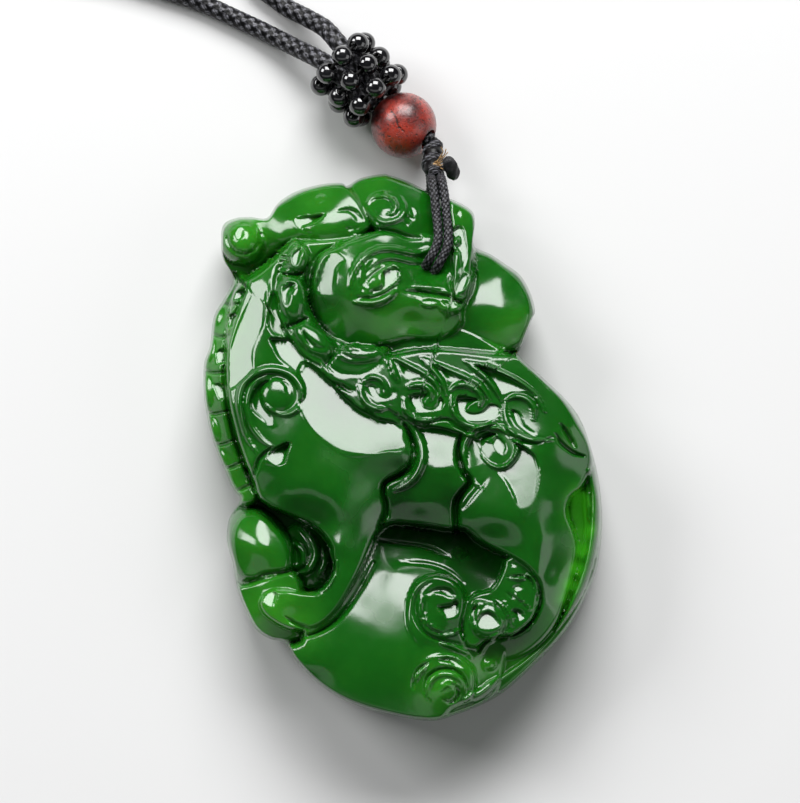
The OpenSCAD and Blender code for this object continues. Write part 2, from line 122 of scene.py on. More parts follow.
# The table: a plain pale surface that the necklace lies on.
class Shader:
    """The nodes of one material. Its sockets are wrapped so that maths on them is written as maths."""

    def __init__(self, name, **shine):
        self.material = bpy.data.materials.new(name)
        self.material.use_nodes = True
        self.tree = self.material.node_tree
        self.surface = self.tree.nodes["Principled BSDF"]
        for socket, value in shine.items():
            self.feed(socket.replace("_", " ").title().replace("Ior", "IOR"), value)

    def feed(self, socket, value):
        """Sets a socket of the finished surface, or links to it."""
        self.put(self.surface.inputs[socket], value)

    def put(self, socket, value):
        """Sets any socket to a number or a colour, or links it to a Socket."""
        if isinstance(value, Socket):
            self.tree.links.new(value.output, socket)
        elif socket.type == "RGBA":
            socket.default_value = (*value, 1)[:4]
        else:
            socket.default_value = value

    def node(self, kind, setting=None, out=0, **values):
        """A node of that kind: its settings first, then its sockets, by number as n0, n1 or by name."""
        new = self.tree.nodes.new(kind)
        for key, value in (setting or {}).items():
            if key == "stops":
                for spare in list(new.color_ramp.elements)[len(value):]:
                    new.color_ramp.elements.remove(spare)
                while len(new.color_ramp.elements) < len(value):
                    new.color_ramp.elements.new(1.0)
                for stop, (at, colour) in zip(new.color_ramp.elements, value):
                    stop.position, stop.color = at, (*colour, 1)
            else:
                setattr(new, key, value)
        for key, value in values.items():
            self.put(new.inputs[int(key[1:]) if key[1:].isdigit() else key.replace("_", " ")], value)
        return Socket(self, new.outputs[out])

    def place(self):
        """The point's own place on the object, in millimetres."""
        metres = self.node("ShaderNodeTexCoord", out="Object")
        return self.node("ShaderNodeVectorMath", {"operation": "SCALE"}, n0=metres, Scale=1000.0)

    def attribute(self, name):
        """The number that paint stored on the mesh under that name."""
        return self.node("ShaderNodeAttribute", {"attribute_name": name}, out="Fac")

    def noise(self, at, scale, detail=3.0, rough=0.5):
        """Soft noise, about 0.5 in the middle, with so many waves a millimetre."""
        return self.node(
            "ShaderNodeTexNoise", out="Fac", Vector=at, Scale=scale, Detail=detail, Roughness=rough)

    def colours(self, share, *stops):
        """A colour that goes from stop to stop, each (share, colour)."""
        return self.node("ShaderNodeValToRGB", {"stops": stops}, Fac=share)

    def blend(self, share, a, b):
        """Colour a at 0, colour b at 1, and a mix of the two between."""
        return self.node("ShaderNodeMix", {"data_type": "RGBA"}, out=2, n0=share, n6=a, n7=b)

    def bump(self, height, strength, distance):
        """Bends the surface's normal as if it had that height, over a distance in metres."""
        self.feed("Normal", self.node("ShaderNodeBump", Height=height, Strength=strength, Distance=distance))


class Socket:
    """One output of a node, with the arithmetic that the materials use."""

    def __init__(self, shader, output):
        self.shader, self.output = shader, output

    def work(self, operation, a, b=0.0):
        return self.shader.node("ShaderNodeMath", {"operation": operation}, n0=a, n1=b)

    def __add__(self, other):
        return self.work("ADD", self, other)

    def __sub__(self, other):
        return self.work("SUBTRACT", self, other)

    def __rsub__(self, other):
        return self.work("SUBTRACT", other, self)

    def __mul__(self, other):
        return self.work("MULTIPLY", self, other)

    __radd__, __rmul__ = __add__, __mul__

    def sine(self):
        return self.work("SINE", self)

    def over(self, low, high):
        """0 below low, 1 above high, and smooth between."""
        return self.shader.node("ShaderNodeMapRange", {"interpolation_type": "SMOOTHSTEP"},
                                Value=self, n1=low, n2=high)


def surface(name, points, faces, material):
    """A smooth object at the origin with that mesh, its points given in millimetres."""
    mesh = bpy.data.meshes.new(name)
    mesh.from_pydata(np.asarray(points, float) / 1000, [], faces)
    mesh.polygons.foreach_set("use_smooth", [True] * len(mesh.polygons))
    mesh.materials.append(material)
    new = bpy.data.objects.new(name, mesh)
    bpy.context.scene.collection.objects.link(new)
    return new


TABLE_HALF = 6000.0

floor_look = Shader("table_white", base_color=(0.66, 0.66, 0.66))
floor_grain = floor_look.noise(floor_look.place(), 0.6, 4.0)
floor_look.feed("Roughness", 0.5 + floor_grain * 0.15)
corners = [(x * TABLE_HALF, y * TABLE_HALF, 0) for x, y in ((-1, -1), (1, -1), (1, 1), (-1, 1))]
floor = surface("table", corners, [(0, 1, 2, 3)], floor_look.material)


# The jade: one piece of deep green nephrite, sawn flat at the back, carved at the front as a beast that
# crouches on a ball, and polished all over. It is a sheet of points spread over the outline, each lifted
# to the height of the carving there, with the rounded edge and the flat back closing it underneath.
OUTLINE_PX = [
    (389, 175), (407, 181), (427, 191), (437, 197), (451, 199), (471, 210), (475, 222), (473, 240),
    (476, 248), (490, 254), (505, 264), (520, 275), (530, 292), (535, 310), (532, 319), (522, 346),
    (519, 355), (541, 376), (568, 402), (583, 425), (594, 459), (600, 489), (602, 526), (598, 564),
    (590, 587), (575, 617), (556, 643), (530, 669), (504, 692), (481, 705), (458, 714), (430, 721),
    (383, 713), (346, 701), (319, 684), (297, 662), (285, 643), (270, 639), (255, 628), (242, 602),
    (236, 583), (233, 564), (227, 541), (229, 519), (240, 500), (233, 489), (223, 466), (214, 444),
    (208, 421), (204, 395), (204, 364), (210, 346), (214, 316), (225, 297), (233, 278), (223, 259),
    (221, 244), (223, 225), (236, 218), (251, 217), (267, 218), (278, 203), (297, 191), (323, 184),
    (342, 183), (347, 186), (361, 178), (383, 174),
]
# Points across and down the carving, its edge's height, how far the edge rounds, and the uncarved height.
JADE_ACROSS, JADE_DOWN = 244, 344
RIM_HEIGHT = 3.4
RIM_ROUND = 0.35
GROUND = 6.4


def bend(points, closed=False, steps=4):
    """A smooth line through the points: between two of them, the cubic that leaves each along the way from
    its neighbour before to its neighbour after."""
    p = np.array(points, float)
    p = np.vstack([p[-1:], p, p[:2]]) if closed else np.vstack([2 * p[:1] - p[1:2], p, 2 * p[-1:] - p[-2:-1]])
    a, b, c, d = (p[i:len(p) - 3 + i, None] for i in range(4))
    t = (np.arange(steps) / steps)[:, None]
    line = (2 * b + (c - a) * t + (2 * a - 5 * b + 4 * c - d) * t ** 2 + (3 * b - a - 3 * c + d) * t ** 3) / 2
    return np.vstack([line.reshape(-1, p.shape[1]), p[1:2] if closed else p[-2:-1]])


def quarter(share):
    """Rises as a quarter of a circle, from 0 at 0 to 1 at 1."""
    return np.sqrt(1 - (1 - np.clip(share, 0, 1)) ** 2)


class Relief:
    """Heights of a carving, in millimetres, over points of the picture. Each method is one kind of cut."""

    def __init__(self, x, y, ground):
        self.x, self.y = x, y
        self.z = np.full(x.shape, float(ground))

    def near(self, path, reach):
        """The points within reach of a path, their distance from it, how far along it they are, and the
        side of it that they are on: above 0 to the right of the way it runs in the picture."""
        low, high = path.min(0) - reach, path.max(0) + reach
        at = np.flatnonzero((self.x > low[0]) & (self.x < high[0]) & (self.y > low[1]) & (self.y < high[1]))
        run = np.maximum(np.hypot(*np.diff(path, axis=0).T), 1e-9)
        start = np.concatenate([[0], np.cumsum(run)])
        best, share, side = np.full(len(at), 1e9), np.zeros(len(at)), np.zeros(len(at))
        for a, step, length, done in zip(path, np.diff(path, axis=0), run, start):
            dx, dy = self.x[at] - a[0], self.y[at] - a[1]
            t = np.clip((dx * step[0] + dy * step[1]) / length ** 2, 0, 1)
            d = np.hypot(dx - t * step[0], dy - t * step[1])
            nearer = d < best - 1e-6
            share = np.where(nearer, (done + t * length) / start[-1], share)
            side = np.where(nearer, step[0] * dy - step[1] * dx, side)
            best = np.where(nearer, d, best)
        return at, best, share, side

    def within(self, outline):
        """The points inside a closed outline, and their distance from it."""
        path = bend(outline, closed=True)
        at, d, _, _ = self.near(path, 0.5)
        x, y = self.x[at][:, None], self.y[at][:, None]
        ax, ay, bx, by = *path[:-1].T, *path[1:].T
        with np.errstate(divide="ignore", invalid="ignore"):
            crossed = ((ay > y) != (by > y)) & (x < (bx - ax) * (y - ay) / (by - ay) + ax)
        inside = crossed.sum(1) % 2 == 1
        return at[inside], d[inside]

    def join(self, at, height, blend):
        """Keeps the higher of the carving and height, rounded over blend where they meet."""
        low = self.z[at]
        self.z[at] = (low + height + np.sqrt((low - height) ** 2 + blend ** 2)) / 2

    def over_hills(self, at, hills):
        """Heights of the smoothest sheet, a thin plate, that passes through every hill (x, y, height)."""
        hill = np.array(hills, float)

        def bend_of(x, y):
            r2 = (x[:, None] - hill[:, 0]) ** 2 + (y[:, None] - hill[:, 1]) ** 2 + 1e-9
            return np.column_stack([r2 * np.log(r2), np.ones(len(x)), x / 100, y / 100])

        rows = bend_of(hill[:, 0], hill[:, 1])
        system = np.vstack([rows, np.column_stack([rows[:, -3:].T, np.zeros((3, 3))])])
        weights = np.linalg.solve(system, np.append(hill[:, 2], [0, 0, 0]))
        return bend_of(self.x[at], self.y[at]) @ weights

    def mass(self, outline, hills, edge, foot, blend=0.12):
        """A swelling form. Its top is a smooth sheet over the hills, and it rounds down to foot over the
        distance edge inside its outline."""
        at, d = self.within(outline)
        top = self.over_hills(at, hills) if len(hills) > 3 else hills[0][2]
        self.join(at, foot + (top - foot) * quarter(d / edge), blend)

    def dome(self, x, y, wide, high, top, drop, turn, blend=0.1):
        """A ball cut off drop below its top, as an ellipse turned by so many degrees."""
        c, s = math.cos(math.radians(turn)), math.sin(math.radians(turn))
        u, v = (self.x - x) * c + (self.y - y) * s, (self.y - y) * c - (self.x - x) * s
        out = np.hypot(u / wide, v / high)
        at = np.flatnonzero(out < 1)
        self.join(at, top - drop * (1 - np.sqrt(1 - out[at] ** 2)), blend)

    def cut(self, path, width, height, ends, round_top=False):
        """A raised line, or a groove where height is below 0, that narrows to ends of its width."""
        at, d, share, _ = self.near(path, width)
        keep = np.interp(share, [0, 0.25, 0.75, 1], [ends[0], 1, 1, ends[1]])
        out = np.clip(d / (width * np.maximum(keep, 0.05)), 0, 1)
        self.z[at] += height * keep * (np.sqrt(1 - out ** 2) if round_top else (1 + np.cos(np.pi * out)) / 2)

    def bevel(self, path, widths, pitch=0.31, wall=1.8, ease=6.0):
        """Cuts a plane down to a line from its right side. The plane falls by pitch toward the line, and the
        other side stands over it, as a wall of that width. Ease rounds the plane's far edge."""
        at, d, share, side = self.near(path, max(widths) + 3)
        width = np.interp(share, np.linspace(0, 1, len(widths)), widths)
        left = width - d
        up = np.clip(1 - np.where(side > 0, 0, d) / wall, 0, 1)
        cut = np.where(side > 0, (left + np.sqrt(left ** 2 + ease)) / 2, width * up * up * (3 - 2 * up))
        self.z[at] -= pitch * MM_PER_PX * np.maximum(cut, 0)

    def pool(self, outline, falls=90, pitch=0.31, wall=2.0, near=0.15):
        """Cuts a tilted plane inside an outline. It leaves the surface at the outline's near side and falls
        by pitch the way that falls says, in degrees from the picture's right, to a wall at the far side. The
        near side is the share near of the points, those where the fall begins."""
        at, d = self.within(outline)
        c, s = math.cos(math.radians(falls)), math.sin(math.radians(falls))
        run = MM_PER_PX * (self.x[at] * c - self.y[at] * s)
        near_side = run < np.quantile(run, near)
        plane = self.z[at][near_side].mean() - pitch * (run - run[near_side].mean())
        self.z[at] += (np.minimum(plane, self.z[at] + 0.05) - self.z[at]) * quarter(d / wall)

    def sink(self, outline, level, edge):
        """Cuts what is inside an outline down to a level, with sloping sides."""
        at, d = self.within(outline)
        share = (1 - np.cos(np.pi * np.clip(d / edge, 0, 1))) / 2
        self.z[at] += (np.minimum(self.z[at], level) - self.z[at]) * share


def outline_radius(angle):
    """Distance of the jade's edge from its middle, in points of the picture, at an angle."""
    edge = bend(OUTLINE_PX, closed=True)[:-1] - JADE_MIDDLE_PX
    at = np.arctan2(-edge[:, 1], edge[:, 0])
    order = np.argsort(at)
    return np.interp(angle, at[order], np.hypot(*edge.T)[order], period=2 * np.pi)


def jade_grid():
    """Points of a square grid pulled out to the jade's outline: the square goes to a disc by the elliptical
    mapping, and each radius of the disc is stretched to the outline. Also gives the share of the way out."""
    u, v = np.meshgrid(np.linspace(-1, 1, JADE_ACROSS + 1), np.linspace(1, -1, JADE_DOWN + 1))
    x, y = u * np.sqrt(1 - v ** 2 / 2), v * np.sqrt(1 - u ** 2 / 2)
    share, angle = np.hypot(x, y), np.arctan2(y, x)
    reach = share * outline_radius(angle)
    return JADE_MIDDLE_PX[0] + reach * np.cos(angle), JADE_MIDDLE_PX[1] - reach * np.sin(angle), share


grid_x, grid_y, grid_share = jade_grid()
relief = Relief(grid_x.ravel(), grid_y.ravel(), GROUND)

# The large forms, from the lowest up: outline in the picture, hills (x, y, height in mm) that the top passes
# through, width over which the edge rounds down, and the height of its foot.
FORMS = {
    "spine": (
        [(228, 280), (246, 274), (252, 284), (242, 302), (233, 325), (228, 350), (227, 380), (230, 410),
         (237, 440), (248, 470), (260, 497), (248, 508), (235, 502), (224, 478), (211, 450), (201, 415),
         (198, 385), (199, 355), (206, 325), (217, 300)],
        [(242, 288, 10.0), (230, 290, 8.6), (226, 330, 10.0), (214, 330, 8.6), (220, 375, 10.2),
         (206, 375, 8.6), (226, 425, 10.2), (212, 425, 8.6), (244, 480, 10.0), (230, 480, 8.8)], 7, 4.6),
    "crown": (
        [(222, 226), (236, 216), (256, 214), (268, 204), (282, 196), (300, 186), (323, 179), (346, 180),
         (358, 190), (368, 206), (376, 226), (366, 238), (345, 250), (310, 250), (292, 247), (272, 262),
         (252, 277), (232, 281), (222, 262), (218, 244)],
        [(262, 226, 8.6), (300, 203, 9.4), (338, 196, 10.0), (278, 240, 9.4), (270, 255, 7.6),
         (244, 272, 6.4), (310, 232, 10.8), (335, 228, 11.2), (362, 218, 10.8), (285, 218, 9.6),
         (320, 186, 8.4), (340, 245, 10.4), (300, 244, 9.6)], 9, 4.6),
    "forehead": (
        [(346, 183), (361, 175), (384, 171), (404, 177), (422, 184), (440, 194), (452, 214), (452, 246),
         (430, 248), (400, 240), (376, 234), (364, 218)],
        [(384, 178, 8.6), (362, 192, 9.2), (388, 208, 11.2), (420, 212, 10.6), (438, 206, 9.0),
         (440, 235, 9.9), (380, 228, 11.8), (415, 190, 9.0), (400, 234, 11.6), (425, 238, 10.6)], 8, 5.5),
    "under_head": (
        [(286, 243), (320, 238), (366, 236), (384, 250), (350, 275), (330, 300), (316, 330), (296, 330),
         (288, 290), (284, 268)],
        [(320, 270, 11.4)], 6, 8.0),
    "mane_bed": (
        [(296, 244), (286, 258), (280, 280), (277, 300), (281, 322), (292, 340), (304, 354), (322, 364),
         (350, 371), (376, 368), (390, 356), (386, 345), (362, 347), (340, 340), (322, 328), (312, 310),
         (307, 285), (308, 255)],
        [(298, 260, 13.3), (290, 300, 13.6), (300, 330, 13.8), (316, 348, 13.9), (350, 360, 13.7),
         (376, 358, 13.5)], 5, 9.0),
    "ball_behind_chin": (
        [(470, 248), (490, 250), (506, 260), (522, 274), (534, 292), (538, 312), (532, 334), (522, 350),
         (500, 357), (470, 354), (448, 346), (446, 300), (456, 268)],
        [(500, 312, 11.8), (498, 276, 10.6), (470, 312, 11.6), (524, 312, 11.2), (500, 340, 10.9),
         (470, 345, 10.6), (518, 285, 10.3), (480, 262, 9.4), (520, 338, 10.4), (472, 280, 10.6)], 10, 7.0),
    "under_chin": (
        [(384, 334), (420, 330), (460, 326), (500, 346), (506, 352), (490, 362), (450, 362), (390, 362)],
        [(440, 346, 11.2)], 4, 8.0),
    "body": (
        [(304, 244), (292, 240), (272, 258), (250, 275), (238, 284), (230, 303), (226, 330), (224, 360),
         (226, 395), (234, 432), (244, 462), (252, 480), (258, 498), (270, 508), (288, 516), (312, 527),
         (324, 538), (331, 552), (334, 568), (327, 583), (317, 591), (303, 591), (286, 588), (268, 590),
         (258, 602), (264, 616), (282, 628), (300, 632), (320, 628), (338, 612), (352, 590), (366, 562),
         (378, 535), (392, 525), (420, 527), (450, 531), (464, 531), (478, 543), (495, 552), (512, 560),
         (528, 571), (537, 586), (539, 604), (528, 625), (505, 636), (486, 640), (474, 652), (495, 660),
         (518, 658), (540, 644), (558, 622), (568, 597), (576, 568), (579, 548), (575, 530), (569, 513),
         (572, 498), (583, 488), (592, 468), (592, 446), (582, 426), (566, 400), (543, 376), (522, 356),
         (490, 352), (452, 348), (420, 348), (386, 354), (362, 358), (338, 348), (320, 334), (311, 312),
         (306, 296), (306, 262)],
        [(298, 248, 12.6), (284, 258, 12.6), (262, 280, 12.7), (246, 302, 12.4), (236, 330, 12.4),
         (256, 312, 13.2), (264, 335, 13.6), (285, 300, 13.9), (300, 280, 13.2), (300, 325, 14.0),
         (280, 340, 13.9), (230, 365, 12.6), (252, 365, 13.6), (270, 365, 13.7), (300, 360, 14.2),
         (230, 410, 13.2), (246, 410, 13.5), (277, 396, 13.8), (262, 430, 13.6), (242, 440, 12.5),
         (254, 468, 12.8), (275, 460, 13.8), (262, 488, 12.3), (290, 495, 13.5), (300, 470, 14.4),
         (300, 430, 14.8), (325, 400, 14.8), (345, 385, 14.6), (320, 450, 15.0), (320, 500, 14.2),
         (322, 524, 12.6), (300, 512, 12.4), (342, 455, 15.1), (370, 452, 15.0), (402, 452, 14.9),
         (372, 420, 15.0), (398, 422, 14.7), (365, 478, 14.2), (400, 470, 13.9), (345, 480, 14.9),
         (346, 510, 14.6), (372, 505, 14.0), (340, 545, 13.8), (362, 540, 13.4), (334, 560, 13.2),
         (348, 575, 13.4), (332, 605, 12.8), (305, 612, 12.3), (320, 622, 12.4), (272, 606, 12.0),
         (290, 602, 12.5), (288, 618, 11.9), (410, 440, 14.2), (420, 470, 13.9), (400, 495, 13.4),
         (440, 470, 14.0), (455, 480, 13.6), (440, 432, 14.0), (420, 503, 13.4), (440, 522, 12.4),
         (400, 520, 12.4), (380, 362, 14.2), (430, 356, 14.0), (480, 358, 13.7), (520, 366, 13.6),
         (425, 400, 14.4), (470, 400, 14.2), (515, 405, 13.8), (555, 400, 13.5), (545, 430, 13.9),
         (585, 445, 12.2), (565, 430, 13.4), (492, 450, 14.2), (470, 455, 13.8), (512, 470, 14.8),
         (528, 455, 14.8), (540, 475, 14.6), (528, 510, 15.0), (495, 490, 14.6), (478, 500, 14.2),
         (505, 520, 14.8), (470, 520, 13.6), (490, 538, 13.2), (515, 548, 13.8), (550, 500, 14.2),
         (560, 475, 13.2), (575, 465, 12.2), (562, 510, 13.0), (565, 540, 12.6), (545, 540, 14.2),
         (540, 575, 13.6), (558, 575, 12.0), (548, 605, 12.0), (530, 640, 10.6), (500, 648, 10.0)], 5, 9.2),
    "face": (
        [(331, 247), (345, 240), (361, 235), (384, 229), (407, 232), (432, 236), (458, 232), (472, 244),
         (476, 270), (470, 292), (465, 309), (464, 322), (453, 335), (432, 342), (408, 341), (388, 346),
         (361, 349), (338, 344), (322, 330), (312, 311), (309, 288), (312, 268), (319, 254)],
        [(350, 268, 14.3), (350, 300, 14.4), (320, 282, 13.7), (328, 258, 13.3), (326, 310, 12.6),
         (340, 252, 13.4), (372, 262, 14.0), (366, 244, 12.9), (385, 285, 14.0), (400, 256, 12.4),
         (425, 250, 11.2), (450, 258, 11.2), (428, 272, 11.2), (408, 285, 13.2), (440, 290, 13.1),
         (375, 312, 14.0), (362, 336, 12.7), (412, 303, 13.5), (412, 322, 12.4), (442, 308, 13.2),
         (442, 326, 12.2), (340, 328, 12.6), (386, 330, 13.0), (400, 270, 13.0)], 6, 10.8),
    "snout": (
        [(446, 202), (456, 197), (468, 202), (477, 216), (478, 236), (476, 256), (474, 276), (472, 296),
         (462, 304), (450, 300), (450, 270), (450, 240)],
        [(461, 212, 11.4), (461, 226, 11.9), (458, 262, 13.2), (462, 283, 13.2), (470, 240, 12.0)], 6, 6.5),
    "great_ball": (
        [(300, 640), (302, 624), (322, 600), (345, 570), (366, 538), (384, 524), (420, 526), (466, 530),
         (500, 550), (532, 570), (545, 592), (530, 620), (512, 645), (500, 692), (472, 712), (435, 723),
         (383, 718), (340, 706), (310, 690), (290, 670), (280, 648)],
        [(398, 650, 13.3), (398, 625, 12.95), (398, 600, 12.4), (398, 585, 11.95), (398, 572, 11.4),
         (398, 559, 10.4), (345, 650, 12.6), (345, 620, 12.3), (310, 665, 11.7), (325, 640, 12.15),
         (368, 612, 12.4), (366, 592, 11.75), (398, 690, 12.7), (398, 712, 12.0), (345, 690, 12.0),
         (435, 700, 11.9), (440, 650, 12.95), (440, 600, 12.1), (440, 575, 11.1), (470, 640, 11.6),
         (460, 590, 10.8), (490, 625, 10.2), (470, 690, 11.0), (315, 685, 10.8), (340, 600, 11.8),
         (325, 614, 11.9), (312, 630, 11.8), (355, 575, 11.0), (372, 554, 10.1), (386, 541, 9.6),
         (410, 543, 9.6), (436, 551, 9.6), (466, 565, 9.7), (500, 580, 9.4), (530, 600, 9.2),
         (520, 630, 9.4)], 6, 7.0),
    "ball_at_chest": (
        [(240, 508), (258, 506), (275, 516), (290, 534), (297, 552), (295, 572), (280, 582), (258, 586),
         (240, 584), (228, 566), (224, 542), (228, 522)],
        [(264, 548, 12.0), (244, 540, 11.3), (262, 520, 11.0), (284, 545, 11.4), (262, 575, 11.0),
         (236, 560, 10.3), (250, 515, 10.4), (275, 525, 10.8)], 12, 5.0),
    "forepaw": (
        [(234, 586), (250, 579), (271, 572), (292, 568), (302, 578), (306, 592), (316, 594), (300, 606),
         (290, 617), (306, 630), (310, 638), (298, 644), (284, 647), (268, 645), (252, 634), (238, 612)],
        [(262, 592, 10.8), (285, 580, 11.2), (250, 612, 9.9), (275, 630, 9.9), (292, 640, 9.4),
         (285, 606, 11.0), (245, 594, 9.9)], 8, 4.8),
    "under_tail": (
        [(478, 645), (540, 598), (562, 618), (545, 655), (510, 690), (480, 702)],
        [(520, 650, 9.3)], 6, 6.0),
    "hind_foot": (
        [(464, 642), (462, 606), (474, 594), (492, 588), (502, 570), (506, 558), (522, 556), (536, 570),
         (541, 590), (538, 610), (528, 625), (512, 635), (490, 638), (476, 648)],
        [(485, 615, 13.2), (474, 606, 13.1), (500, 602, 13.2), (506, 620, 13.1), (518, 604, 13.1),
         (512, 586, 13.2), (524, 588, 13.0), (514, 566, 13.1), (530, 604, 12.8), (522, 618, 12.8),
         (480, 634, 12.9), (500, 631, 12.8)], 3, 9.6),
    "upper_cloud": (
        [(431, 574), (415, 582), (406, 600), (404, 622), (412, 643), (425, 655), (442, 652), (457, 652),
         (470, 664), (477, 658), (468, 642), (463, 628), (467, 608), (466, 594), (457, 581), (445, 575)],
        [(435, 600, 13.9), (450, 612, 13.9), (425, 635, 13.6), (460, 648, 12.2), (412, 605, 13.4)], 5,
         10.0),
    "lower_cloud": (
        [(424, 655), (441, 651), (461, 655), (475, 669), (477, 688), (469, 702), (453, 710), (440, 722),
         (420, 721), (406, 712), (402, 692), (409, 672)],
        [(445, 664, 13.2), (450, 690, 13.3), (425, 685, 13.0), (418, 704, 12.2), (460, 700, 12.2)], 5, 9.5),
    "tail": (
        [(586, 448), (596, 462), (603, 490), (606, 526), (602, 566), (592, 592), (577, 622), (556, 650),
         (530, 676), (504, 697), (476, 710), (462, 705), (480, 688), (498, 674), (524, 655), (546, 635),
         (562, 610), (574, 580), (582, 550), (584, 520), (582, 490), (584, 466)],
        [(590, 470, 9.8), (596, 520, 9.0), (588, 520, 10.0), (592, 560, 9.0), (583, 560, 10.0),
         (572, 610, 9.4), (545, 645, 9.4), (510, 680, 9.4), (482, 698, 9.6)], 7, 4.8),
}
for outline, hills, edge, foot in FORMS.values():
    relief.mass(outline, hills, edge, foot)

# Small raised forms set on the large ones: middle, half width, half height, top, drop and turn.
BUMPS = {
    "horn_tip": (243, 241, 23, 24, 9.8, 3.0, 0),
    "nostril": (462, 284, 9, 13, 13.9, 1.0, 20),
    "lip_front": (449, 305, 14, 9, 13.6, 0.8, 8), "lip": (430, 302, 13, 6, 13.6, 0.5, 0),
    "eyeball": (383, 281, 21, 13, 14.6, 1.0, -38), "shoulder_core": (277, 396, 18, 18, 14.6, 0.8, 0),
    "mane_1": (299, 259, 10, 14, 14.4, 1.1, 12), "mane_2": (293, 299, 14, 24, 14.9, 1.3, -4),
    "mane_3": (314, 341, 25, 13, 15.0, 1.2, 40), "mane_4": (358, 355, 28, 11, 14.8, 1.2, 0),
    "scute_1": (234, 295, 14, 15, 8.9, 1.2, 0), "scute_2": (225, 321, 13, 17, 9.1, 1.2, 0),
    "scute_3": (217, 352, 14, 19, 9.3, 1.2, 0), "scute_4": (213, 390, 14, 21, 9.3, 1.2, 0),
    "scute_5": (217, 428, 14, 17, 9.3, 1.2, 0), "scute_6": (227, 456, 13, 15, 9.2, 1.2, 0),
    "scute_7": (238, 480, 13, 13, 9.2, 1.2, 0),
    "mid_toe": (488, 620, 18, 19, 13.9, 1.0, 0), "toe_knuckle": (480, 605, 8, 5, 13.7, 0.5, 0),
    "nub": (487, 664, 14, 12, 11.0, 2.0, 0), "hollow": (306, 556, 26, 34, 8.6, 2.0, -20),
}
for row in BUMPS.values():
    relief.dome(*row)

# Planes cut down to a line: the line, how wide the plane is along it, and its slope.
BEVELS = {
    "belly_top": ([(404, 418), (418, 426), (440, 428), (461, 434)], (26, 40, 42, 36), 0.27),
    "thigh_side": ([(484, 484), (474, 495), (464, 508)], (5, 6, 5)),
}
for row in BEVELS.values():
    relief.bevel(bend(row[0]), *row[1:])

